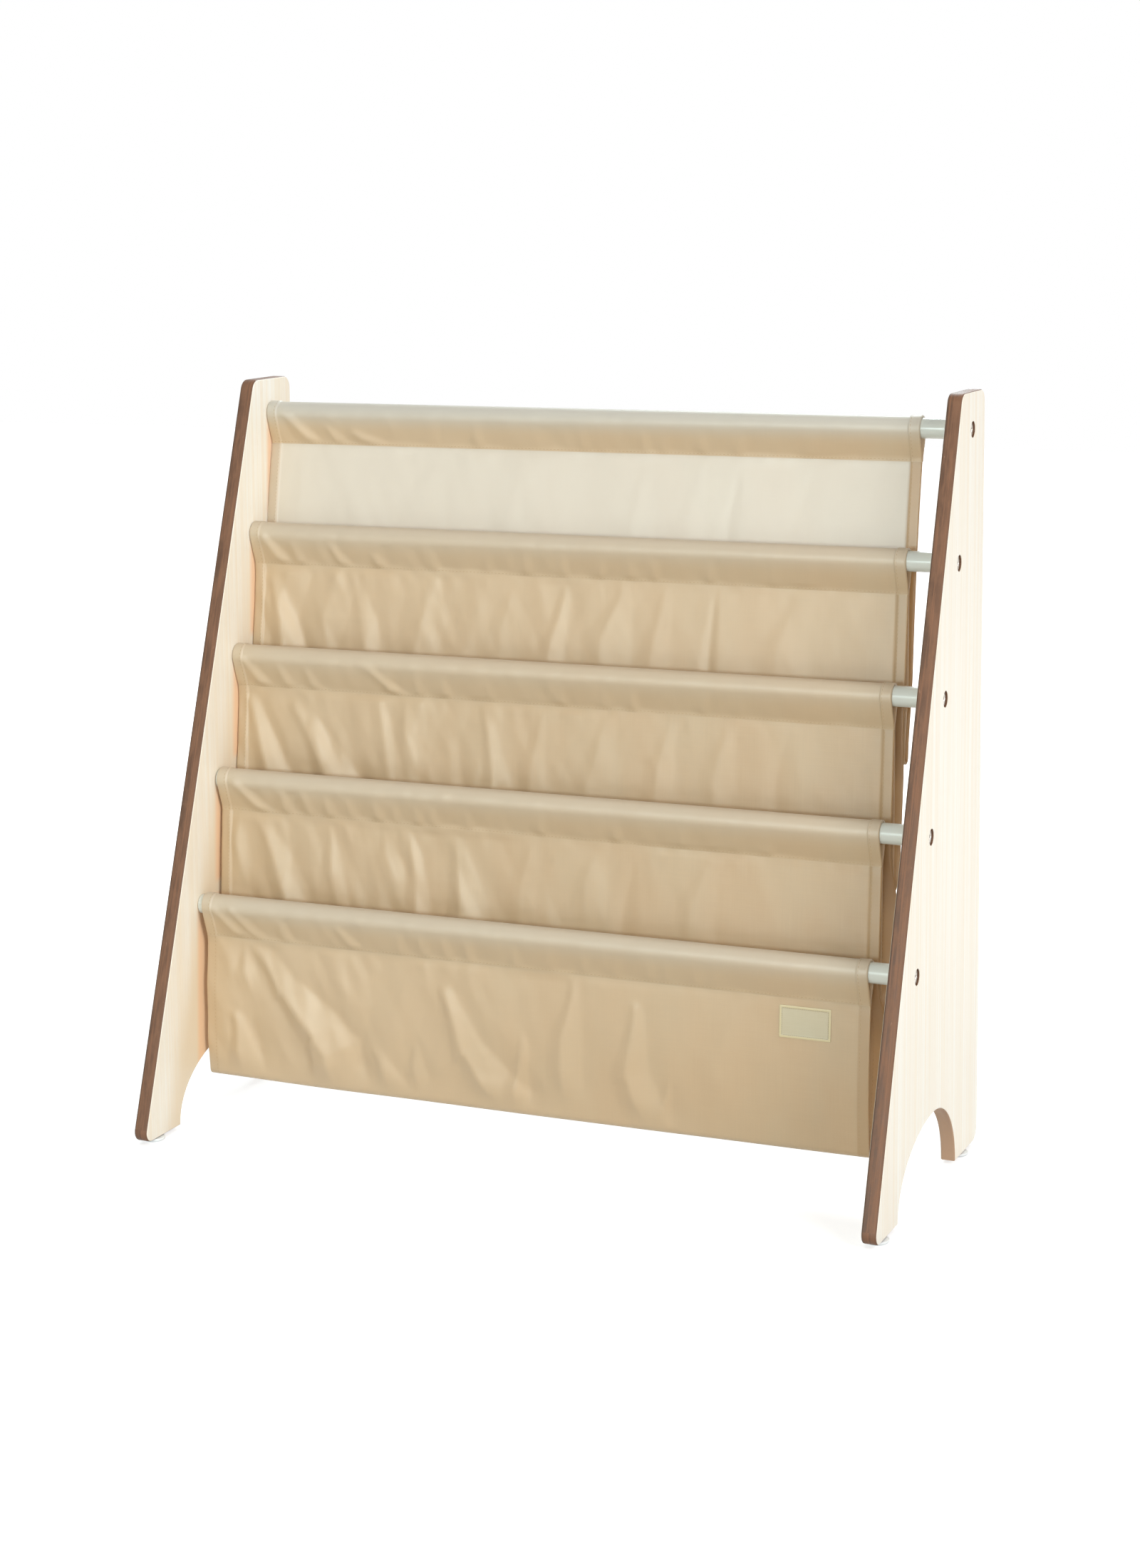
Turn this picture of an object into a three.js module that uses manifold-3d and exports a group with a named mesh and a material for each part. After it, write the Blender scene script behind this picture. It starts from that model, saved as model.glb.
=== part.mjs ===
// Sling bookshelf for children: two side panels with a leaning front edge, five cross rods
// held by bolts, and one canvas strip hung over the rods in four book pockets.
// Millimetres. +X runs along the rods, -Y is the front, +Z is up, and z = 0 is the floor.
import * as THREE from "three";
import { mergeVertices } from "three/addons/utils/BufferGeometryUtils.js";
import Module from "manifold-3d";

const wasm = await Module();
wasm.setup();

// Overall size
const shelfWidth = 622;
const panelHeight = 600;
const panelDepthAtFloor = 270.5;
const panelDepthAtTop = 62.6;

// Side panel board: a brown fibreboard core with a thin pale laminate on each face
const boardThickness = 12;
const laminateThickness = 0.4;
const edgeRadius = 1.5;
const edgeSteps = 2;

// Side panel outline, seen from the side: lengths run back from the sharp front corner
const frontFootRadius = 8;
const backFootRadius = 12;
const topFrontRadius = 10;
const topBackRadius = 10;
const cornerSteps = 4;
const frontFootLength = 56.3;
const rearFootLength = 62.2;
const archHeight = 58;
const archApexSetback = 148.3;
const archSteps = 9;

// Cross rods: steel tubes on a line parallel to the front edge
const rodCount = 5;
const rodDiameter = 16;
const rodWall = 1.2;
const rodEndChamfer = 0.4;
const rodSetback = 37;
const topRodDrop = 29;
const lowestRodHeight = 176;
const rodSides = 20;

// Fastening: one bolt through each panel into a threaded plug in the rod's end
const fitGap = 0.25;
const plugLength = 18;
const boltDiameter = 6;
const boltReach = 14;
const boltTipChamfer = 0.8;
const boltHeadDiameter = 12.4;
const boltHeadHeight = 2.2;
const boltHeadChamfer = 0.5;
const counterboreDepth = 4;
const socketWidth = 4;
const socketDepth = 1.6;
const fastenerSides = 12;
const counterboreSides = 20;

// Glides: round plastic pads with a pin pushed into the bottom edge of each foot
const glideDiameter = 18;
const glideFlatDiameter = 14;
const glideHeight = 3;
const glideEdgeRise = 1.5;
const glidePinDiameter = 3;
const glidePinLength = 10;
const frontGlideSetback = 24;
const rearGlideSetback = 37;

// Canvas strip: a sleeve sewn round each rod, and a loose pocket between neighbouring sleeves
const clothThickness = 1;
const layerGap = 0.3;
const bareRodLength = 27.5;
const slingEndGap = 0.5;
const lowestSleeveShift = 4;
const sleeveShiftShares = [0, 0, 0, 0.4, 1];
const sleeveSlack = 0.4;
const seamDrop = 26;
const sleevePucker = 0.8;
const sleeveArcSteps = 10;
const sleeveColumns = 6;
const slingFloorGap = 32.5;
const pocketDropStep = 5;
const pocketBendRadius = 4.5;
const pocketBottomRise = 2.5;
const frontWallBow = 2.5;
const backWallCurveShare = 1.3;
const openFoldDepth = 3;
const hiddenFoldDepth = 1;
const pocketColumns = 12;
const frontWallRows = 8;
const bendRows = 6;
const backWallRows = 10;

// Label: a small bare patch sewn on the lowest pocket
const labelWidth = 40.8;
const labelHeight = 24.7;
const labelThickness = 0.6;
const labelCornerRadius = 0.8;
const labelFromRightHem = 51;
const labelBelowSeam = 5.5;

// Small overrun of every cutting tool past the face it cuts
const cutOverrun = 1;

// Values that follow from the sizes above
const panelLean = (panelDepthAtFloor - panelDepthAtTop) / panelHeight;
const leanCos = 1 / Math.hypot(1, panelLean);
const leanSin = panelLean * leanCos;
const frontmostDepth = panelLean * frontFootRadius + frontFootRadius / leanCos - frontFootRadius;
const depthCentre = (frontmostDepth + panelDepthAtFloor) / 2;
const outerFaceX = shelfWidth / 2;
const innerFaceX = outerFaceX - boardThickness;
const boardMidX = outerFaceX - boardThickness / 2;
const rodRadius = rodDiameter / 2;
const rodBore = rodDiameter - 2 * rodWall;
const rodLength = 2 * (innerFaceX - fitGap);
const boltHoleRadius = boltDiameter / 2 + fitGap;
const counterboreRadius = boltHeadDiameter / 2 + fitGap;
const slingLeftX = slingEndGap - innerFaceX;
const slingWidth = 2 * innerFaceX - slingEndGap - bareRodLength;
const sleeveMidRadius = rodRadius + sleeveSlack + clothThickness / 2;
const layerOffset = (clothThickness + layerGap) / 2;

// A point of the side view, from its depth behind the front corner and height above the feet
function sidePoint(depth, height) {
  return new THREE.Vector2(depth - depthCentre, height + glideHeight);
}

// Rod 1 is the top one, and the others step down and forward along the front edge
function rodPlace(number) {
  const topHeight = panelHeight - topRodDrop;
  const stepsDownShare = (number - 1) / (rodCount - 1);
  const height = THREE.MathUtils.lerp(topHeight, lowestRodHeight, stepsDownShare);
  return sidePoint(panelLean * height + rodSetback / leanCos, height);
}

function material(color, roughness, metalness = 0) {
  return new THREE.MeshStandardMaterial({ color, roughness, metalness, side: THREE.DoubleSide });
}

const finishes = {
  core: material(0x835f50, 0.6),
  laminate: material(0xf0e2c8, 0.5),
  rod: material(0xe6e8e6, 0.35),
  plug: material(0x2c2c2e, 0.5),
  bolt: material(0xb9b4a8, 0.3, 1),
  glide: material(0xd5dde2, 0.4),
  canvas: material(0xc9b08e, 0.8),
  label: material(0xe4daba, 0.7),
};

// Turns a mesh whose faces point inwards right side out
function facedOutwards(geometry) {
  const points = geometry.getAttribute("position");
  const index = geometry.getIndex();
  const a = new THREE.Vector3();
  const b = new THREE.Vector3();
  const c = new THREE.Vector3();
  let sixVolumes = 0;
  for (let k = 0; k < index.count; k += 3) {
    a.fromBufferAttribute(points, index.getX(k));
    b.fromBufferAttribute(points, index.getX(k + 1));
    c.fromBufferAttribute(points, index.getX(k + 2));
    sixVolumes += a.dot(b.cross(c));
  }
  if (sixVolumes < 0) {
    for (let k = 0; k < index.count; k += 3) {
      const second = index.getX(k + 1);
      index.setX(k + 1, index.getX(k + 2));
      index.setX(k + 2, second);
    }
  }
  return geometry;
}

function meshFrom(positions, triangles) {
  const geometry = new THREE.BufferGeometry();
  geometry.setAttribute("position", new THREE.Float32BufferAttribute(positions, 3));
  geometry.setIndex(triangles);
  const faced = facedOutwards(geometry);
  faced.computeVertexNormals();
  return faced;
}

function solidFrom(geometry) {
  const bare = geometry.clone();
  bare.deleteAttribute("normal");
  bare.deleteAttribute("uv");
  const merged = facedOutwards(mergeVertices(bare));
  return new wasm.Manifold(new wasm.Mesh({
    numProp: 3,
    vertProperties: new Float32Array(merged.getAttribute("position").array),
    triVerts: new Uint32Array(merged.getIndex().array),
  }));
}

function cut(geometry, tools) {
  let solid = solidFrom(geometry);
  for (const tool of tools) {
    solid = solid.subtract(solidFrom(tool));
  }
  const result = solid.getMesh();
  return meshFrom(Array.from(result.vertProperties), Array.from(result.triVerts));
}

// Points of a convex corner rounded to a radius, for an outline that turns left
function roundedCorner(corner, arriving, leaving, radius) {
  const turn = Math.acos(arriving.dot(leaving));
  const start = corner.clone().addScaledVector(arriving, -radius * Math.tan(turn / 2));
  const centre = start.clone().add(new THREE.Vector2(-arriving.y, arriving.x).multiplyScalar(radius));
  const points = [];
  for (let k = 0; k <= cornerSteps; k += 1) {
    points.push(start.clone().rotateAround(centre, turn * k / cornerSteps));
  }
  return points;
}

// The panel's outline drawn in by an inset. Its arch is a long quarter ellipse in front of
// the apex and a short one behind it.
function panelOutline(inset) {
  const down = new THREE.Vector2(-leanSin, -leanCos);
  const back = new THREE.Vector2(1, 0);
  const up = new THREE.Vector2(0, 1);
  const forward = new THREE.Vector2(-1, 0);
  const frontDepth = (height) => panelLean * height + inset / leanCos;
  const top = panelHeight - inset;
  const rear = panelDepthAtFloor - inset;
  const archFront = archApexSetback - frontFootLength + inset;
  const archRear = panelDepthAtFloor - rearFootLength - archApexSetback + inset;
  const arch = [];
  for (let k = 0; k <= 2 * archSteps; k += 1) {
    const angle = Math.PI * (1 - k / (2 * archSteps));
    const reach = k < archSteps ? archFront : archRear;
    arch.push(new THREE.Vector2(
      archApexSetback + reach * Math.cos(angle),
      inset + archHeight * Math.sin(angle),
    ));
  }
  const points = [
    ...roundedCorner(new THREE.Vector2(frontDepth(inset), inset), down, back, frontFootRadius - inset),
    ...arch,
    ...roundedCorner(new THREE.Vector2(rear, inset), back, up, backFootRadius - inset),
    ...roundedCorner(new THREE.Vector2(rear, top), up, forward, topBackRadius - inset),
    ...roundedCorner(new THREE.Vector2(frontDepth(top), top), forward, down, topFrontRadius - inset),
  ];
  return points.map((point) => sidePoint(point.x, point.y));
}

// How far the rounded board edge draws the outline in, at a distance from the mid-plane
function edgeInset(fromMid) {
  const past = Math.max(0, fromMid - (boardThickness / 2 - edgeRadius));
  return edgeRadius - Math.sqrt(edgeRadius ** 2 - Math.min(past, edgeRadius) ** 2);
}

// A board built up from outlines at stations across its thickness
function boardBetween(stations) {
  const outlines = stations.map((fromMid) => panelOutline(edgeInset(Math.abs(fromMid))));
  const count = outlines[0].length;
  const positions = [];
  outlines.forEach((outline, k) => {
    outline.forEach((point) => positions.push(boardMidX + stations[k], point.x, point.y));
  });
  const triangles = [];
  for (let k = 0; k + 1 < stations.length; k += 1) {
    for (let n = 0; n < count; n += 1) {
      const near = k * count + n;
      const next = k * count + (n + 1) % count;
      triangles.push(near, next, next + count, near, next + count, near + count);
    }
  }
  const last = (stations.length - 1) * count;
  THREE.ShapeUtils.triangulateShape(outlines[0], []).forEach(([a, b, c]) => {
    triangles.push(a, c, b);
  });
  THREE.ShapeUtils.triangulateShape(outlines.at(-1), []).forEach(([a, b, c]) => {
    triangles.push(last + a, last + b, last + c);
  });
  return meshFrom(positions, triangles);
}

// A round cutting tool along X at each rod's place
function rodHoles(radius, fromX, toX, sides) {
  const holes = [];
  for (let number = 1; number <= rodCount; number += 1) {
    const place = rodPlace(number);
    const hole = new THREE.CylinderGeometry(radius, radius, toX - fromX, sides);
    hole.rotateZ(Math.PI / 2);
    hole.translate((fromX + toX) / 2, place.x, place.y);
    holes.push(hole);
  }
  return holes;
}

function glidePlaces() {
  return {
    front: sidePoint(frontGlideSetback, 0).x,
    rear: sidePoint(panelDepthAtFloor - rearGlideSetback, 0).x,
  };
}

function pinHoles() {
  const depth = glidePinLength + fitGap + cutOverrun;
  return Object.values(glidePlaces()).map((y) => {
    const radius = glidePinDiameter / 2 + fitGap;
    const hole = new THREE.CylinderGeometry(radius, radius, depth, fastenerSides);
    hole.rotateX(Math.PI / 2);
    hole.translate(boardMidX, y, glideHeight - cutOverrun + depth / 2);
    return hole;
  });
}

// The three layers of the right-hand panel. The left one is their mirror image.
function panelLayers() {
  const half = boardThickness / 2;
  const coreHalf = half - laminateThickness;
  const flatHalf = half - edgeRadius;
  const rounded = [];
  for (let k = 0; k <= edgeSteps; k += 1) {
    rounded.push(THREE.MathUtils.lerp(flatHalf, coreHalf, k / edgeSteps));
  }
  const coreStations = [...rounded.map((x) => -x).reverse(), ...rounded];
  const counterboreFloor = outerFaceX - counterboreDepth;
  const boltHoles = rodHoles(
    boltHoleRadius, innerFaceX - cutOverrun, outerFaceX + cutOverrun, fastenerSides);
  const counterbores = rodHoles(
    counterboreRadius, counterboreFloor, outerFaceX + cutOverrun, counterboreSides);
  return {
    core: cut(boardBetween(coreStations), [...boltHoles, ...counterbores, ...pinHoles()]),
    outer_laminate: cut(boardBetween([coreHalf, half]), counterbores),
    inner_laminate: cut(boardBetween([-half, -coreHalf]), boltHoles),
  };
}

function mirrored(geometry) {
  const copy = geometry.clone();
  copy.scale(-1, 1, 1);
  return facedOutwards(copy);
}

// A turned piece whose profile points are [radius, distance along its axis]
function turned(profile, sides) {
  return new THREE.LatheGeometry(profile.map(([r, along]) => new THREE.Vector2(r, along)), sides);
}

function rodGeometry() {
  const inner = rodBore / 2;
  const half = rodLength / 2;
  return turned([
    [inner, -half],
    [rodRadius - rodEndChamfer, -half],
    [rodRadius, rodEndChamfer - half],
    [rodRadius, half - rodEndChamfer],
    [rodRadius - rodEndChamfer, half],
    [inner, half],
    [inner, -half],
  ], rodSides);
}

function plugGeometry() {
  const outer = rodBore / 2 - fitGap;
  const inner = boltHoleRadius;
  return turned([
    [inner, -plugLength],
    [outer, -plugLength],
    [outer, 0],
    [inner, 0],
    [inner, -plugLength],
  ], fastenerSides);
}

// The bolt's axis origin is the underside of its head
function boltGeometry() {
  const shank = boltDiameter / 2;
  const head = boltHeadDiameter / 2;
  const length = boardThickness - counterboreDepth + boltReach;
  const blank = turned([
    [0, -length],
    [shank - boltTipChamfer, -length],
    [shank, boltTipChamfer - length],
    [shank, 0],
    [head, 0],
    [head, boltHeadHeight - boltHeadChamfer],
    [head - boltHeadChamfer, boltHeadHeight],
    [0, boltHeadHeight],
  ], fastenerSides);
  const socketHeight = socketDepth + cutOverrun;
  const socketRadius = socketWidth / Math.sqrt(3);
  const socket = new THREE.CylinderGeometry(socketRadius, socketRadius, socketHeight, 6);
  socket.translate(0, boltHeadHeight - socketDepth + socketHeight / 2, 0);
  return cut(blank, [socket]);
}

function glideGeometry() {
  const top = glideHeight - fitGap;
  const pin = glidePinDiameter / 2;
  return turned([
    [0, 0],
    [glideFlatDiameter / 2, 0],
    [glideDiameter / 2, glideEdgeRise],
    [glideDiameter / 2, top],
    [pin, top],
    [pin, glideHeight + glidePinLength],
    [0, glideHeight + glidePinLength],
  ], fastenerSides);
}

// A closed sheet of cloth: midline(row, x) gives each row's y, z and shift along X. The sheet's
// first and last edges are cut level, so that two sheets meet flat at a seam.
function clothSheet(midline, rowCount, leftX, width, columns) {
  const half = clothThickness / 2;
  const positions = [];
  for (const sign of [1, -1]) {
    for (let row = 0; row <= rowCount; row += 1) {
      for (let column = 0; column <= columns; column += 1) {
        const x = leftX + width * column / columns;
        const here = midline(row, x);
        const before = midline(Math.max(row - 1, 0), x);
        const after = midline(Math.min(row + 1, rowCount), x);
        const isEnd = row === 0 || row === rowCount;
        const along = new THREE.Vector2(isEnd ? 0 : after.y - before.y, after.z - before.z).normalize();
        positions.push(x + here.shift, here.y - sign * half * along.y, here.z + sign * half * along.x);
      }
    }
  }
  const side = (rowCount + 1) * (columns + 1);
  const at = (row, column) => row * (columns + 1) + column;
  const triangles = [];
  const quad = (a, b, c, d) => triangles.push(a, b, c, a, c, d);
  for (let row = 0; row < rowCount; row += 1) {
    for (let column = 0; column < columns; column += 1) {
      const a = at(row, column);
      const b = at(row, column + 1);
      const c = at(row + 1, column + 1);
      const d = at(row + 1, column);
      quad(a, b, c, d);
      quad(side + a, side + d, side + c, side + b);
    }
    for (const [column, flip] of [[0, false], [columns, true]]) {
      const a = at(row, column);
      const d = at(row + 1, column);
      if (flip) {
        quad(a, side + a, side + d, d);
      } else {
        quad(a, d, side + d, side + a);
      }
    }
  }
  for (let column = 0; column < columns; column += 1) {
    const a = at(0, column);
    const b = at(0, column + 1);
    const c = at(rowCount, column + 1);
    const d = at(rowCount, column);
    quad(a, side + a, side + b, b);
    quad(d, c, side + c, side + d);
  }
  return meshFrom(positions, triangles);
}

function sleeveShift(number) {
  return lowestSleeveShift * sleeveShiftShares[Math.min(number, sleeveShiftShares.length) - 1];
}

// The sleeve's midline goes up the front from the seam, over the rod and down the back
function sleeveGeometry(number) {
  const place = rodPlace(number);
  const seam = new THREE.Vector2(-layerOffset, -seamDrop);
  const tangentAngle = seam.angle() - Math.acos(sleeveMidRadius / seam.length());
  const sweep = 2 * (tangentAngle - Math.PI / 2);
  const onRod = (share) => {
    const angle = tangentAngle - sweep * share;
    return new THREE.Vector2(Math.cos(angle), Math.sin(angle)).multiplyScalar(sleeveMidRadius);
  };
  const front = [seam, seam.clone().lerp(onRod(0), 1 / 2)];
  const rows = [...front];
  for (let k = 0; k <= sleeveArcSteps; k += 1) {
    rows.push(onRod(k / sleeveArcSteps));
  }
  rows.push(...front.map((point) => new THREE.Vector2(-point.x, point.y)).reverse());
  const midline = (row, x) => {
    const loose = row === 1 || row === rows.length - 2;
    const wave = Math.sin(5 * Math.PI * (x - slingLeftX) / slingWidth + number);
    const pucker = loose ? sleevePucker * wave : 0;
    return {
      y: place.x + rows[row].x + pucker * Math.sign(rows[row].x),
      z: place.y + rows[row].y,
      shift: sleeveShift(number),
    };
  };
  return clothSheet(midline, rows.length - 1, slingLeftX, slingWidth, sleeveColumns);
}

// Soft folds that start at the left ends of the sleeves and fade out to the right and below
function foldWave(x, downShare, number) {
  const acrossShare = (x - slingLeftX) / slingWidth;
  const slant = Math.sin(2 * Math.PI * (3.1 * acrossShare - 0.6 * downShare) + number);
  const slow = Math.sin(2 * Math.PI * 1.2 * acrossShare + 2 * number);
  const leftBias = 1 - THREE.MathUtils.smoothstep(acrossShare, 0.3, 0.8);
  return (0.6 * leftBias * slant + 0.4 * slow * (1 - acrossShare)) * Math.sin(Math.PI * downShare);
}

// How far the bottom of the pocket in front of rod N hangs below the rod that holds its front
function pocketDrop(number) {
  const rodsAboveLowest = rodCount - 1 - number;
  return lowestRodHeight - slingFloorGap + pocketDropStep * rodsAboveLowest;
}

// Pocket N hangs between rod N, which holds its back wall, and rod N + 1 in front of it
function pocketShape(number) {
  const rear = rodPlace(number);
  const front = rodPlace(number + 1);
  const isLowest = number === rodCount - 1;
  const frontY = front.x + (isLowest ? 0 : layerOffset);
  const rearY = rear.x - (number === 1 ? 0 : layerOffset);
  const seamZ = front.y - seamDrop - fitGap;
  const bendZ = front.y - pocketDrop(number) + clothThickness / 2 + pocketBendRadius;
  const rearSeamZ = rear.y - seamDrop - fitGap;
  return { frontY, rearY, seamZ, bendZ, rearSeamZ, isLowest };
}

// The midline of a pocket's front wall at a share of the way down from the seam
function frontWall(number, x, downShare) {
  const { frontY, seamZ, bendZ, isLowest } = pocketShape(number);
  const depth = isLowest ? openFoldDepth : hiddenFoldDepth;
  const bow = isLowest ? frontWallBow * Math.sin(Math.PI * downShare) : 0;
  return {
    y: frontY - bow + depth * foldWave(x, downShare, number),
    z: THREE.MathUtils.lerp(seamZ, bendZ, downShare),
  };
}

function pocketGeometry(number) {
  const { frontY, rearY, bendZ, rearSeamZ } = pocketShape(number);
  const bendBackY = frontY + 2 * pocketBendRadius;
  const rowCount = frontWallRows + bendRows + backWallRows;
  const midline = (row, x) => {
    const fromMiddleShare = 2 * (x - slingLeftX) / slingWidth - 1;
    const rise = pocketBottomRise * fromMiddleShare ** 4;
    const shift = THREE.MathUtils.lerp(sleeveShift(number + 1), sleeveShift(number), row / rowCount);
    if (row <= frontWallRows) {
      const downShare = row / frontWallRows;
      const wall = frontWall(number, x, downShare);
      return { y: wall.y, z: wall.z + rise * downShare, shift };
    }
    if (row <= frontWallRows + bendRows) {
      const angle = Math.PI * (row - frontWallRows) / bendRows;
      return {
        y: frontY + pocketBendRadius * (1 - Math.cos(angle)),
        z: bendZ - pocketBendRadius * Math.sin(angle) + rise,
        shift,
      };
    }
    const upShare = (row - frontWallRows - bendRows) / backWallRows;
    const fold = openFoldDepth * foldWave(x, 1 - upShare, number);
    return {
      y: THREE.MathUtils.lerp(bendBackY, rearY, upShare ** backWallCurveShare) + fold,
      z: THREE.MathUtils.lerp(bendZ, rearSeamZ, upShare) + rise * (1 - upShare),
      shift,
    };
  };
  return clothSheet(midline, rowCount, slingLeftX, slingWidth, pocketColumns);
}

function labelGeometry() {
  const halfWidth = labelWidth / 2;
  const halfHeight = labelHeight / 2;
  const r = labelCornerRadius;
  const shape = new THREE.Shape();
  shape.moveTo(r - halfWidth, -halfHeight);
  shape.lineTo(halfWidth - r, -halfHeight);
  shape.absarc(halfWidth - r, r - halfHeight, r, -Math.PI / 2, 0);
  shape.absarc(halfWidth - r, halfHeight - r, r, 0, Math.PI / 2);
  shape.absarc(r - halfWidth, halfHeight - r, r, Math.PI / 2, Math.PI);
  shape.absarc(r - halfWidth, r - halfHeight, r, Math.PI, 3 * Math.PI / 2);
  return new THREE.ExtrudeGeometry(shape, {
    depth: labelThickness,
    bevelEnabled: false,
    curveSegments: 1,
  });
}

const shelf = new THREE.Group();

function add(name, geometry, finish, parent = shelf) {
  const mesh = new THREE.Mesh(geometry, finish);
  mesh.name = name;
  parent.add(mesh);
  return mesh;
}

function addPanels() {
  for (const [layer, geometry] of Object.entries(panelLayers())) {
    const finish = layer === "core" ? finishes.core : finishes.laminate;
    add(`right_panel_${layer}`, geometry, finish);
    add(`left_panel_${layer}`, mirrored(geometry), finish);
  }
}

// Each rod with its plugs and bolts is a group whose local Y axis is turned onto X
function addRods() {
  const rod = rodGeometry();
  const plug = plugGeometry();
  const bolt = boltGeometry();
  const headSeat = outerFaceX - counterboreDepth + fitGap;
  for (let number = 1; number <= rodCount; number += 1) {
    const place = rodPlace(number);
    const group = new THREE.Group();
    group.position.set(0, place.x, place.y);
    shelf.add(group);
    add(`rod_${number}`, rod, finishes.rod, group).rotation.z = -Math.PI / 2;
    for (const [side, sign] of [["left", -1], ["right", 1]]) {
      const end = new THREE.Group();
      end.rotation.z = -sign * Math.PI / 2;
      group.add(end);
      add(`${side}_rod_plug_${number}`, plug, finishes.plug, end).position.y = rodLength / 2;
      add(`${side}_bolt_${number}`, bolt, finishes.bolt, end).position.y = headSeat;
    }
  }
}

function addGlides() {
  const glide = glideGeometry();
  for (const [foot, y] of Object.entries(glidePlaces())) {
    for (const [side, sign] of [["left", -1], ["right", 1]]) {
      const mesh = add(`${side}_${foot}_glide`, glide, finishes.glide);
      mesh.rotation.x = Math.PI / 2;
      mesh.position.set(sign * boardMidX, y, 0);
    }
  }
}

function addSling() {
  for (let number = 1; number <= rodCount; number += 1) {
    add(`sling_sleeve_${number}`, sleeveGeometry(number), finishes.canvas);
  }
  for (let number = 1; number < rodCount; number += 1) {
    add(`sling_pocket_${number}`, pocketGeometry(number), finishes.canvas);
  }
}

// The label lies flat on the lowest pocket's front wall, turned to that wall's slope
function addLabel() {
  const lowest = rodCount - 1;
  const { seamZ, bendZ } = pocketShape(lowest);
  const x = slingLeftX + slingWidth + lowestSleeveShift - labelFromRightHem;
  const wallHeight = seamZ - bendZ;
  const upper = frontWall(lowest, x, labelBelowSeam / wallHeight);
  const lower = frontWall(lowest, x, (labelBelowSeam + labelHeight) / wallHeight);
  const slope = Math.atan2(upper.y - lower.y, upper.z - lower.z);
  const mesh = add("label", labelGeometry(), finishes.label);
  const standOff = clothThickness / 2 + fitGap;
  mesh.rotation.x = Math.PI / 2 - slope;
  mesh.position.set(x, (upper.y + lower.y) / 2 - standOff, (upper.z + lower.z) / 2);
}

addPanels();
addRods();
addGlides();
addSling();
addLabel();

export default shelf;
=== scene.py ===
"""Sling bookshelf for children: the finished look of its panels, rods, bolts and hung canvas."""
import math

import bmesh
import bpy
import numpy as np
from bpy.props import FloatProperty, FloatVectorProperty, IntProperty, PointerProperty
from mathutils import Matrix, Vector
from mathutils.geometry import delaunay_2d_cdt


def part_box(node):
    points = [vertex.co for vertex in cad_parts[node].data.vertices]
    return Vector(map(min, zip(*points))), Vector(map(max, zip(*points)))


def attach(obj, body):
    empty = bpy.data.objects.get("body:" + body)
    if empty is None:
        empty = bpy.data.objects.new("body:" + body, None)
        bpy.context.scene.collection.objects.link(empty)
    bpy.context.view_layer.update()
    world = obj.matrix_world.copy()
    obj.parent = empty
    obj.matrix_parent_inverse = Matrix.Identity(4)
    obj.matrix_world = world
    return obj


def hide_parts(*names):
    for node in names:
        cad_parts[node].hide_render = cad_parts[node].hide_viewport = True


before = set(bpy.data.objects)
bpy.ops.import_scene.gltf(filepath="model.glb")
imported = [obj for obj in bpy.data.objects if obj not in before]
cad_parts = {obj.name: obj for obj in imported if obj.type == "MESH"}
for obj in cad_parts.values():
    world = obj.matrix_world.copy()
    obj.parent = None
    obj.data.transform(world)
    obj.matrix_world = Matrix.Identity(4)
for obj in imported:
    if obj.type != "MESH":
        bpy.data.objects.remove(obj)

bl_info = {
    "name": "Sling Bookshelf",
    "version": (1, 0, 0),
    "blender": (4, 5, 0),
    "location": "View3D > Sidebar > Shelf",
    "description": "Makes the finished surfaces of a sling bookshelf around its packed solids",
    "category": "Object",
}

MM = 0.001
RODS = 5
SIDES = (("left", -1), ("right", 1))
BORE_SIDES = 40
THREAD_RINGS, THREAD_SIDES = 5, 6
# Stitches sink into the cloth by a share of their radius, and follow one another at a multiple
# of their length. The stitches of a side hem run a set distance, in millimetres, inside its fold.
THREAD_SINK = 0.6
STITCH_PITCH = 1.18
HEM_STITCH = 1.6
# Half the gap between the two layers of cloth at a seam, in millimetres
SEAM_GAP = 0.03
# Random heights are drawn for a square of cells, which repeats, and 0 lies well inside it
CELLS = 97
CELL_START = (31.0, 37.0)


def rod_place(number):
    """The rod's axis in the side view: the middle of its solid's box, as y and z in metres."""
    low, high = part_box(f"rod_{number}")
    return np.array([(low.y + high.y) / 2, (low.z + high.z) / 2])


# Sizes, colours and light that a user may change.


def metres(name, description, default):
    """A length in metres."""
    return FloatProperty(name=name, description=description, default=default, unit="LENGTH")


def paint(name, description, default):
    """A base colour."""
    return FloatVectorProperty(
        name=name, description=description, default=default, subtype="COLOR", size=3)


def light(name, description, default):
    """A lamp's power or a strength of light."""
    return FloatProperty(name=name, description=description, default=default, min=0)


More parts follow.
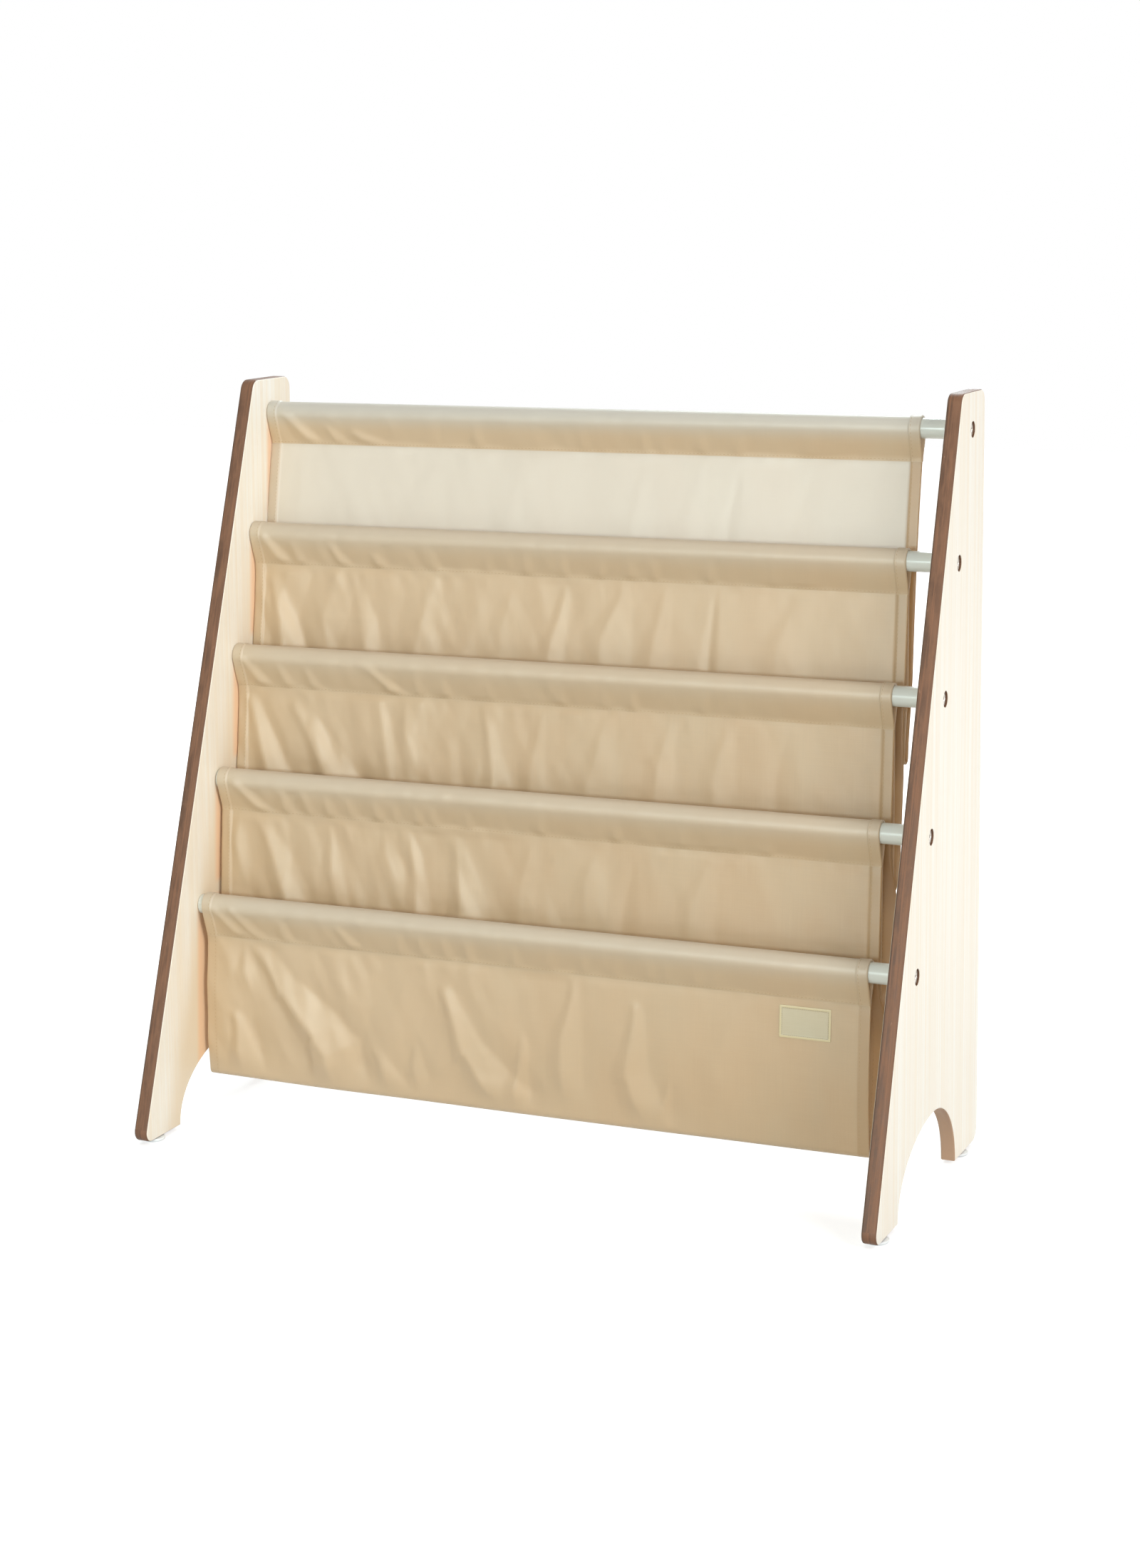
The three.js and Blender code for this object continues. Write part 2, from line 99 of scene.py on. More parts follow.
class ShelfSizes(bpy.types.PropertyGroup):
    """Sizes of the shelf's pieces, in metres."""

    depth_at_floor: metres("Depth at floor", "Panel depth at its feet", 0.2705)
    depth_at_top: metres("Depth at top", "Panel depth at its top", 0.0626)
    edge_radius: metres("Edge radius", "Rounding of the board's edges", 0.0015)
    laminate: metres("Laminate", "Thickness of each face sheet", 0.0004)
    front_foot_radius: metres("Front foot radius", "Corner radius of the front foot", 0.008)
    back_foot_radius: metres("Back foot radius", "Corner radius of the rear foot", 0.012)
    top_radius: metres("Top radius", "Corner radius of the panel's top", 0.010)
    front_foot: metres("Front foot", "Length of the front foot", 0.0563)
    rear_foot: metres("Rear foot", "Length of the rear foot", 0.0622)
    arch_height: metres("Arch height", "Height of the cut-out between the feet", 0.058)
    arch_apex: metres("Arch apex", "Setback of the cut-out's highest point", 0.1483)
    rod_wall: metres("Rod wall", "Wall of the rod's tube", 0.0012)
    bolt_hole: metres("Bolt hole", "Radius of the hole for a bolt", 0.00325)
    counterbore: metres("Counterbore", "Radius of the sink for a bolt head", 0.00645)
    counterbore_depth: metres("Counterbore depth", "Depth of the sink", 0.004)
    cloth: metres("Cloth", "Thickness of the canvas", 0.0009)
    hem: metres("Hem", "Width of the canvas's side hems", 0.009)
    seam_drop: metres("Seam drop", "Seam below the rod's axis", 0.026)
    cell: metres("Cell", "Size of the canvas's mesh cells", 0.0022)
    stitch: metres("Stitch", "Length of one stitch", 0.0027)
    thread: metres("Thread", "Thickness of the sewing thread", 0.00024)
    arc_steps: IntProperty(
        name="Arc steps", description="Steps of each rounded corner", default=14, min=4)
    round_sides: IntProperty(
        name="Round sides", description="Sides of the turned pieces", default=60, min=12)


class ShelfColours(bpy.types.PropertyGroup):
    """Base colours of the finishes."""

    laminate: paint("Laminate", "Pale maple face", (0.885, 0.85, 0.77))
    edge: paint("Edge", "Brown board edge", (0.152, 0.075, 0.042))
    canvas: paint("Canvas", "Beige cotton canvas", (0.628, 0.443, 0.236))
    rod: paint("Rod", "White coating of the rods", (0.612, 0.606, 0.545))
    plug: paint("Plug", "Black plastic of the rods' plugs", (0.028, 0.028, 0.030))
    label: paint("Label", "Cream label cloth", (0.405, 0.33, 0.185))
    label_thread: paint("Label thread", "Brown thread round the label", (0.30, 0.24, 0.15))
    glide: paint("Glide", "Pale plastic of the glides", (0.84, 0.87, 0.88))
    steel: paint("Steel", "Bright bolt steel", (0.66, 0.63, 0.58))


class ShelfStage(bpy.types.PropertyGroup):
    """Light and camera."""

    ambient: light("Ambient", "Strength of the even white light", 0.42)
    key: light("Key", "Power of the large soft lamp at the right", 220.0)
    fill: light("Fill", "Power of the small lamp in front", 17.0)
    near: light("Near", "Power of the small lamp beside the camera", 7.0)
    rear: light("Rear", "Power of the soft lamp behind", 56.0)
    lens: FloatProperty(
        name="Lens", description="Focal length on a 36 mm side", default=67.17, min=1)


# Meshes from grids of points.


def grid(rows, columns, wrap=False, first=0):
    """Faces of a grid of points, row after row, and the same faces counted on a grid that has
    one more column for its closing edge. Face (r, c) joins (r, c), (r, c + 1), (r + 1, c + 1)
    and (r + 1, c)."""
    wide = columns if wrap else columns - 1
    r, c = np.meshgrid(np.arange(rows - 1), np.arange(wide), indexing="ij")
    r, c = r.ravel(), c.ravel()
    ring = [(r, c), (r, c + 1), (r + 1, c + 1), (r + 1, c)]
    faces = np.stack([a * columns + b % columns for a, b in ring], axis=1) + first
    chart = np.stack([a * (wide + 1) + b for a, b in ring], axis=1)
    return faces, chart


def swell(points, faces):
    """Six times the volume that the faces close in, as the sum of their fans' determinants."""
    total = 0.0
    for group in faces:
        a = points[group[:, 0]]
        for k in range(1, group.shape[1] - 1):
            total += np.einsum("ij,ij->", a, np.cross(points[group[:, k]], points[group[:, k + 1]]))
    return total


def make(name, points, faces, finish, node=None, charts=None, sharp=38, weld=False):
    """A finished piece in metres that rides on the shelf: its faces are turned outwards, and
    charts holds one (u, v) pair for each corner of each face."""
    points = np.asarray(points, float).reshape(-1, 3)
    if swell(points, faces) < 0:
        faces = [group[:, ::-1] for group in faces]
        charts = [c[:, ::-1] for c in charts] if charts else None
    mesh = bpy.data.meshes.new(name)
    corners = np.concatenate([group.ravel() for group in faces])
    totals = np.concatenate([np.full(len(group), group.shape[1]) for group in faces])
    mesh.vertices.add(len(points))
    mesh.vertices.foreach_set("co", points.astype(np.float32).ravel())
    mesh.loops.add(len(corners))
    mesh.loops.foreach_set("vertex_index", corners.astype(np.int32))
    mesh.polygons.add(len(totals))
    starts = np.concatenate([[0], np.cumsum(totals)[:-1]])
    mesh.polygons.foreach_set("loop_start", starts.astype(np.int32))
    mesh.update(calc_edges=True)
    if charts:
        layer = mesh.uv_layers.new(name="surface")
        flat = np.concatenate([c.reshape(-1, 2) for c in charts])
        layer.data.foreach_set("uv", flat.astype(np.float32).ravel())
    if weld:
        work = bmesh.new()
        work.from_mesh(mesh)
        bmesh.ops.remove_doubles(work, verts=work.verts, dist=1e-7)
        bmesh.ops.dissolve_degenerate(work, edges=work.edges, dist=1e-8)
        work.to_mesh(mesh)
        work.free()
    if mesh.validate(verbose=False):
        raise RuntimeError(f"{name} has faces that don't hold together")
    mesh.polygons.foreach_set("use_smooth", np.ones(len(mesh.polygons), bool))
    mesh.set_sharp_from_angle(angle=math.radians(sharp))
    mesh.materials.append(finish)
    piece = bpy.data.objects.new(name, mesh)
    bpy.context.scene.collection.objects.link(piece)
    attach(piece, "root")
    if node:
        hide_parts(node)
    return piece


def run_along(points):
    """The distance run at each of a row of points."""
    return np.concatenate([[0], np.cumsum(np.linalg.norm(np.diff(points, axis=0), axis=1))])


def turned(profile, sides, centre, axis, factors=None):
    """A turned surface: point(row, angle) = centre + along * axis + radius * factor *
    (cos angle * first + sin angle * second), where first, second and axis are at right angles."""
    axis = np.asarray(axis, float)
    first = np.array([0.0, 0.0, 1.0]) if abs(axis[2]) < 0.5 else np.array([1.0, 0.0, 0.0])
    second = np.cross(axis, first)
    profile = np.asarray(profile, float)
    angle = 2 * np.pi * np.arange(sides) / sides
    radius = profile[:, :1] * (np.ones((len(profile), sides)) if factors is None else factors)
    ring = np.cos(angle)[:, None] * first + np.sin(angle)[:, None] * second
    points = radius[..., None] * ring + profile[:, 1][:, None, None] * axis + np.asarray(centre)
    faces, chart = grid(len(profile), sides, wrap=True)
    run = run_along(profile)
    around = np.arange(sides + 1) / sides
    uv = np.stack(np.broadcast_arrays(around[None, :] * 0.05, run[:, None]), axis=-1).reshape(-1, 2)
    return points.reshape(-1, 3), faces, uv[chart]


# Materials.


def join(tree, made, sockets):
    """Links each socket of a node to another node's output, or sets its value."""
    for key, value in sockets.items():
        if isinstance(value, bpy.types.NodeSocket):
            tree.links.new(value, made.inputs[key])
        else:
            made.inputs[key].default_value = value


def node(tree, kind, sockets=None, **settings):
    """A shader node with its settings and its sockets."""
    made = tree.nodes.new(kind)
    for key, value in settings.items():
        setattr(made, key, value)
    join(tree, made, sockets or {})
    return made


def calc(tree, kind, a, b=0.0, c=0.0):
    """One step of arithmetic on numbers: kind is ADD, SINE, MULTIPLY_ADD and so on."""
    return node(tree, "ShaderNodeMath", {0: a, 1: b, 2: c}, operation=kind).outputs[0]


def product(tree, *values):
    """Numbers multiplied together."""
    total = values[0]
    for value in values[1:]:
        total = calc(tree, "MULTIPLY", total, value)
    return total


def span(tree, value, low, high, to_low=0.0, to_high=1.0):
    """value carried smoothly from the range low..high to to_low..to_high, and held at its ends."""
    return node(tree, "ShaderNodeMapRange", {
        0: value, 1: low, 2: high, 3: to_low, 4: to_high},
        interpolation_type="SMOOTHSTEP").outputs[0]


def band(tree, value, rise, fall):
    """1 between two soft edges and 0 outside them. Each edge is given as its start and end."""
    return product(tree, span(tree, value, *rise), span(tree, value, *fall, 1.0, 0.0))


def tint(tree, factor, a, b):
    """Two colours blended by a factor. A colour is a socket or three numbers."""
    a, b = (c if isinstance(c, bpy.types.NodeSocket) else (*c, 1) for c in (a, b))
    return node(tree, "ShaderNodeMix", {0: factor, 6: a, 7: b}, data_type="RGBA").outputs[2]


def scaled(tree, coordinates, scale):
    """Coordinates stretched by a factor along each axis."""
    return node(tree, "ShaderNodeMapping", {"Vector": coordinates, "Scale": scale}).outputs[0]


def noise(tree, vector, scale=1.0, detail=2.0, roughness=0.5):
    """Soft noise between 0 and 1, with its cells as large as one unit divided by scale."""
    return node(tree, "ShaderNodeTexNoise", {
        "Vector": vector, "Scale": scale, "Detail": detail, "Roughness": roughness}).outputs[0]


def shade(colour, factor):
    """A colour times a number or times another colour, held below 1."""
    return tuple(np.minimum(np.asarray(colour) * factor, 0.98))


def overlaid(tree, tone, colour, layers):
    """Tones laid over one another. A layer is its pattern, the range in which it comes in, its
    full share, and the factor that makes its colour from the base colour."""
    for pattern, low, high, share, factor in layers:
        tone = tint(tree, span(tree, pattern, low, high, 0.0, share), tone, shade(colour, factor))
    return tone


def begin(name):
    """A new material, its node tree, Principled shader and output."""
    finish = bpy.data.materials.new(name)
    finish.use_nodes = True
    tree = finish.node_tree
    return finish, tree, tree.nodes["Principled BSDF"], tree.nodes["Material Output"]


def bump(tree, height, distance, strength=1.0):
    """A bump from a height between 0 and 1, whose full rise is the distance in metres."""
    return node(tree, "ShaderNodeBump", {
        "Height": height, "Distance": distance, "Strength": strength}).outputs[0]


def maple_laminate(colour):
    """Pale maple print under a satin coat: upright grain in broad, middle and fine lines, which
    wander a little, with short pores between them."""
    finish, tree, shader, _ = begin("maple_laminate")
    place = node(tree, "ShaderNodeTexCoord").outputs["Object"]
    drift = noise(tree, scaled(tree, place, (0, 9, 2.2)), detail=1.0)
    shift = node(tree, "ShaderNodeCombineXYZ", {
        "Y": product(tree, calc(tree, "SUBTRACT", drift, 0.5), 0.006)}).outputs[0]
    wood = node(tree, "ShaderNodeVectorMath", {0: place, 1: shift}, operation="ADD").outputs[0]
    broad = noise(tree, scaled(tree, wood, (3, 34, 0.9)), detail=2.0)
    middle = noise(tree, scaled(tree, wood, (3, 190, 2.2)), detail=2.5, roughness=0.6)
    fine = noise(tree, scaled(tree, wood, (3, 760, 5.5)), detail=2.0, roughness=0.6)
    pores = noise(tree, scaled(tree, wood, (3, 1500, 70)), detail=1.0)
    tone = tint(tree, span(tree, broad, 0.34, 0.66), shade(colour, (0.99, 0.96, 0.925)),
                shade(colour, (1.015, 1.025, 1.035)))
    tone = overlaid(tree, tone, colour, (
        (middle, 0.38, 0.68, 0.7, (0.975, 0.90, 0.80)),
        (fine, 0.40, 0.72, 0.42, (0.93, 0.85, 0.74)),
        (pores, 0.64, 0.76, 0.35, (0.78, 0.68, 0.56))))
    # On the panels' inner faces the laminate gets painted warm shade: it is yellower beside the
    # canvas, behind the line of rods, and less so near the top
    x, y, z = node(tree, "ShaderNodeSeparateXYZ", {0: place}).outputs
    inner_face = span(tree, calc(tree, "ABSOLUTE", x), 0.3005, 0.3015, 1.0, 0.0)
    top, bottom = rod_place(1), rod_place(RODS)
    slope = (top[0] - bottom[0]) / (top[1] - bottom[1])
    behind = calc(tree, "SUBTRACT", y, product(tree, z, slope))
    start = bottom[0] - slope * bottom[1]
    painted_warm_shade = product(tree, span(tree, behind, start - 0.020, start + 0.012), inner_face,
                   span(tree, z, 0.12, 0.56, 1.0, 0.2))
    tone = tint(tree, painted_warm_shade, tone, shade(colour, (0.88, 0.77, 0.63)))
    # Painted contact shadow: a browner band beside each hanging wall, from its rod down to the next
    # one
    share, lean, lowest = 0.7, 0.05, 0.03
    for number in range(1, RODS + 1):
        front, top = rod_place(number)
        low = rod_place(number + 1)[1] + 0.010 if number < RODS else lowest
        inward = calc(tree, "ADD", y, product(tree, calc(tree, "SUBTRACT", top, z), lean))
        wide = band(tree, inward, (front - 0.011, front - 0.003), (front + 0.030, front + 0.040))
        tall = band(tree, z, (low, low + 0.008), (top, top + 0.006))
        painted_contact_shadow = product(tree, wide, tall, inner_face, share)
        tone = tint(tree, painted_contact_shadow, tone, shade(colour, (0.98, 0.62, 0.38)))
    join(tree, shader, {
        "Base Color": tone, "Roughness": span(tree, middle, 0.3, 0.7, 0.36, 0.46),
        "Normal": bump(tree, calc(tree, "ADD", fine, pores), 0.00003),
        "Specular IOR Level": 0.4})
    return finish


def edge_finish(colour):
    """Brown sealed fibreboard: lengthwise streaks, mottling and a few light nicks. The piece's
    own chart runs along the edge in u and across it in v, in metres."""
    finish, tree, shader, _ = begin("edge_fibreboard")
    chart = node(tree, "ShaderNodeUVMap", uv_map="surface").outputs[0]
    mottle = noise(tree, scaled(tree, chart, (48, 170, 1)), detail=3.0, roughness=0.6)
    streak = noise(tree, scaled(tree, chart, (16, 760, 1)), detail=2.0, roughness=0.55)
    grit = noise(tree, scaled(tree, chart, (1500, 2200, 1)), detail=1.0)
    nick = noise(tree, scaled(tree, chart, (150, 420, 1)), detail=1.5)
    across = node(tree, "ShaderNodeSeparateXYZ", {0: chart}).outputs[1]
    tone = tint(tree, span(tree, mottle, 0.34, 0.66), shade(colour, 0.74), shade(colour, 1.25))
    tone = overlaid(tree, tone, colour, (
        (streak, 0.45, 0.68, 0.7, (1.65, 1.52, 1.40)),
        (grit, 0.5, 0.8, 0.25, 0.62),
        # Painted shade darkens the rounded rims on both sides of the edge
        (calc(tree, "ABSOLUTE", across), 0.0036, 0.0056, 0.8, 0.42),
        (nick, 0.70, 0.76, 0.6, (2.1, 2.3, 2.5))))
    # Painted light: the edge is lighter towards the shelf's right, a painted highlight, and the cut
    # arch is the palest, with painted light
    x, y, z = node(tree, "ShaderNodeSeparateXYZ", {
        0: node(tree, "ShaderNodeTexCoord").outputs["Object"]}).outputs
    board_middle = 0.305
    from_middle = calc(tree, "SUBTRACT", x, product(tree, calc(tree, "SIGN", x), board_middle))
    tone = overlaid(tree, tone, colour, ((from_middle, -0.003, 0.0045, 0.3, (1.9, 1.8, 1.7)),))
    painted_arch_light = product(tree, band(tree, y, (-0.084, -0.078), (0.110, 0.116)),
                   span(tree, z, 0.110, 0.120, 0.85, 0.0))
    tone = tint(tree, painted_arch_light, tone, shade(colour, (3.1, 4.0, 4.7)))
    rough = calc(tree, "SUBTRACT", calc(tree, "ADD", grit, streak), span(tree, nick, 0.70, 0.76))
    join(tree, shader, {
        "Base Color": tone, "Roughness": span(tree, mottle, 0.3, 0.7, 0.46, 0.62),
        "Normal": bump(tree, rough, 0.00008), "Specular IOR Level": 0.35})
    return finish


def speckled(name, colour, roughness, variation, grain_scale, grain_rise, gloss=0.5):
    """A plain finish with faint clouds of tone, uneven roughness and a fine skin."""
    finish, tree, shader, _ = begin(name)
    place = node(tree, "ShaderNodeTexCoord").outputs["Object"]
    clouds = noise(tree, place, scale=28.0, detail=3.0)
    skin = noise(tree, place, scale=grain_scale, detail=2.0)
    tone = tint(tree, span(tree, clouds, 0.3, 0.7), shade(colour, 1 - variation),
                shade(colour, 1 + variation))
    join(tree, shader, {
        "Base Color": tone,
        "Roughness": span(tree, clouds, 0.3, 0.7, roughness * 0.85, roughness * 1.15),
        "Normal": bump(tree, skin, grain_rise), "Specular IOR Level": gloss})
    return finish


def brushed_steel(colour):
    """Turned steel: fine rings round the bolt's axis, which runs along X, and faint smears."""
    finish, tree, shader, _ = begin("bolt_steel")
    place = node(tree, "ShaderNodeTexCoord").outputs["Object"]
    smear = noise(tree, place, scale=900.0, detail=3.0)
    rings = noise(tree, scaled(tree, place, (9000, 1400, 1400)), detail=1.0)
    tone = tint(tree, span(tree, smear, 0.35, 0.7), shade(colour, 0.82), shade(colour, 1.18))
    join(tree, shader, {
        "Base Color": tone, "Roughness": span(tree, smear, 0.3, 0.7, 0.26, 0.42),
        "Normal": bump(tree, rings, 0.00001), "Metallic": 1.0})
    return finish


def woven(name, colour, pitch, through=0.0, hem=False, border=None):
    """Plain woven cloth on the piece's own chart in metres. The weave's height is
    sin(u) * sin(v) over its pitch, thicker and thinner yarns are noise stretched along each
    direction, and through is the share of light that the cloth lets pass. hem is for the canvas,
    whose points carry painted light and painted shade, and border is a label's width, height
    and folded rim."""
    finish, tree, shader, output = begin(name)
    chart = node(tree, "ShaderNodeUVMap", uv_map="surface").outputs[0]
    u, v, _ = node(tree, "ShaderNodeSeparateXYZ", {0: chart}).outputs
    waves = [calc(tree, "SINE", product(tree, way, 2 * math.pi / pitch)) for way in (u, v)]
    weave = calc(tree, "MULTIPLY_ADD", product(tree, *waves), 0.5, 0.5)
    warp = noise(tree, scaled(tree, chart, (1.0 / pitch, 22, 1)), detail=1.0)
    weft = noise(tree, scaled(tree, chart, (26, 1.0 / pitch, 1)), detail=1.0)
    yarn = calc(tree, "ADD", warp, weft)
    clouds = noise(tree, scaled(tree, chart, (21, 9, 1)), detail=2.0, roughness=0.5)
    tone = tint(tree, span(tree, clouds, 0.34, 0.66), shade(colour, (1.01, 0.965, 0.92)),
                shade(colour, (0.995, 1.02, 1.06)))
    tone = tint(tree, span(tree, yarn, 0.75, 1.3, 0.0, 0.5), tone,
                shade(colour, (1.10, 1.12, 1.15)))
    tone = tint(tree, span(tree, weave, 0.0, 0.55, 0.30, 0.0), tone,
                shade(colour, (0.72, 0.66, 0.60)))
    if border:
        # The folded rim of a label is lighter and yellower
        width, height, rim = border
        to_edge = [calc(tree, "SUBTRACT", reach / 2, calc(tree, "ABSOLUTE", way))
                   for reach, way in ((width, u), (height, v))]
        edge = span(tree, calc(tree, "MINIMUM", *to_edge), rim * 0.85, rim * 1.1, 1.0, 0.0)
        tone = tint(tree, edge, tone, shade(colour, (1.20, 1.16, 0.96)))
    if hem:
        # The points carry painted light at one side of each wall, a painted highlight on the
        # sleeves' tops, painted backlight on the top wall, and painted shade on the hems
        painted_side_light, painted_top_light, strip = (
            node(tree, "ShaderNodeAttribute", attribute_name=key).outputs["Fac"]
            for key in ("painted_side_light", "painted_top_light", "hem"))
        for mask, share, factor in ((painted_side_light, 1.0, (1.22, 1.30, 1.50)),
                                    (painted_top_light, 0.75, (1.12, 1.51, 2.50)),
                                    (strip, 0.75, (0.84, 0.81, 0.72))):
            tone = tint(tree, product(tree, mask, share), tone, shade(colour, factor))
    relief_height = calc(tree, "ADD", weave, product(tree, yarn, 0.8))
    normal = bump(tree, relief_height, 0.00002, 0.8)
    join(tree, shader, {
        "Base Color": tone, "Roughness": 0.45, "IOR": 1.65, "Specular IOR Level": 1.0,
        "Sheen Weight": 0.25, "Sheen Roughness": 0.4, "Normal": normal})
    if through:
        passing = tint(tree, 0.7, tone, (0.93, 0.93, 0.93))
        if hem:
            passing = tint(tree, strip, passing, shade(colour, (1.05, 1.0, 0.95)))
        glow = node(tree, "ShaderNodeBsdfTranslucent", {"Color": passing, "Normal": normal})
        both = node(tree, "ShaderNodeMixShader", {
            0: through, 1: shader.outputs[0], 2: glow.outputs[0]})
        tree.links.new(both.outputs[0], output.inputs["Surface"])
    return finish


# Side panels.


def rounded(corner, arriving, leaving, radius, steps):
    """A corner rounded to a radius: the turn from one direction to the next, in equal steps."""
    turn = math.acos(float(np.dot(arriving, leaving)))
    start = corner - arriving * radius * math.tan(turn / 2)
    centre = start + radius * np.array([-arriving[1], arriving[0]])
    angle = turn * np.arange(steps + 1) / steps
    away = start - centre
    return centre + np.stack([
        away[0] * np.cos(angle) - away[1] * np.sin(angle),
        away[0] * np.sin(angle) + away[1] * np.cos(angle)], axis=1)


def panel_outline(size, inset):
    """The panel's side view drawn in by an inset, turning left: slanted front edge, rounded
    corners and an arch of two quarter ellipses that meet at its apex."""
    low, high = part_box("right_panel_core")
    height = high.z - low.z
    lean = (size.depth_at_floor - size.depth_at_top) / height
    lean_cos = 1 / math.hypot(1, lean)
    foremost = size.front_foot_radius * (lean + 1 / lean_cos - 1)
    down = np.array([-lean * lean_cos, -lean_cos])
    back, up, forward = np.array([1.0, 0]), np.array([0, 1.0]), np.array([-1.0, 0])
    top = height - inset
    rear = size.depth_at_floor - inset
    angle = np.linspace(np.pi, 0, 61)
    reach = np.where(angle > np.pi / 2, size.arch_apex - size.front_foot + inset,
                     size.depth_at_floor - size.rear_foot - size.arch_apex + inset)
    arch = np.stack([size.arch_apex + reach * np.cos(angle),
                     inset + size.arch_height * np.sin(angle)], axis=1)
    steps = size.arc_steps
    points = np.concatenate([
        rounded(np.array([lean * inset + inset / lean_cos, inset]), down, back,
                size.front_foot_radius - inset, steps),
        arch,
        rounded(np.array([rear, inset]), back, up, size.back_foot_radius - inset, steps),
        rounded(np.array([rear, top]), up, forward, size.top_radius - inset, steps),
        rounded(np.array([lean * top + inset / lean_cos, top]), forward, down,
                size.top_radius - inset, steps),
    ])
    return points + np.array([low.y - foremost, low.z])


def cap(rings, first):
    """Triangles that fill a face between its outline and its holes. rings are closed rows of
    points, and first holds the number of each row's first point in the mesh."""
    flat = np.concatenate(rings)
    edges, numbers, start = [], [], 0
    for ring, base in zip(rings, first):
        count = len(ring)
        edges += [(start + k, start + (k + 1) % count) for k in range(count)]
        numbers.append(base + np.arange(count))
        start += count
    numbers = np.concatenate(numbers)
    found = delaunay_2d_cdt([Vector(p) for p in flat], edges, [], 2, 1e-9)
    source = np.array([group[0] for group in found[3]])
    triangles = source[np.array(found[2])]
    a, b, c = (flat[triangles[:, k]] for k in range(3))
    area = (b - a)[:, 0] * (c - a)[:, 1] - (b - a)[:, 1] * (c - a)[:, 0]
    triangles[area < 0] = triangles[area < 0][:, ::-1]
    middles = flat[triangles].mean(axis=1)
    for ring in rings[1:]:
        centre = ring.mean(axis=0)
        radius = np.linalg.norm(ring[0] - centre)
        outside = np.linalg.norm(middles - centre, axis=1) > radius
        triangles, middles = triangles[outside], middles[outside]
    return numbers[triangles], flat[triangles]


def board(size, stations, insets, holes):
    """A sheet of the panel: its outline carried across the thickness through stations, each
    drawn in by its inset, then a cap at each end and a stepped bore at each rod. holes lists
    (radius, station) from the first cap to the last."""
    outlines = [panel_outline(size, inset) for inset in insets]
    count = len(outlines[0])
    walls = np.concatenate([
        np.column_stack([np.full(count, x), line]) for x, line in zip(stations, outlines)])
    faces, chart = grid(len(stations), count, wrap=True)
    run = run_along(np.concatenate([outlines[0], outlines[0][:1]]))
    uv = np.stack(np.meshgrid(run, stations), axis=-1).reshape(-1, 2)
    points, groups, charts = [walls], [faces], [uv[chart]]
    angle = 2 * np.pi * np.arange(BORE_SIDES) / BORE_SIDES
    ring = np.stack([np.cos(angle), np.sin(angle)], axis=1)
    ends = [[outlines[0]], [outlines[-1]]]
    firsts = [[0], [(len(stations) - 1) * count]]
    total = len(walls)
    for number in range(1, RODS + 1):
        place = rod_place(number)
        bore = np.concatenate([
            np.column_stack([np.full(BORE_SIDES, x), place + ring * radius])
            for radius, x in holes])
        faces, chart = grid(len(holes), BORE_SIDES, wrap=True, first=total)
        groups.append(faces[:, ::-1])
        charts.append(np.full((len(faces), 4, 2), 0.3) + 0.001 * chart[..., None] % 0.01)
        points.append(bore)
        for end, row in ((0, 0), (1, len(holes) - 1)):
            ends[end].append(place + ring * holes[row][0])
            firsts[end].append(total + row * BORE_SIDES)
        total += len(bore)
    for end in (0, 1):
        triangles, spots = cap(ends[end], firsts[end])
        groups.append(triangles[:, ::-1] if end == 0 else triangles)
        charts.append(spots[:, ::-1] if end == 0 else spots)
    return np.concatenate(points), groups, charts
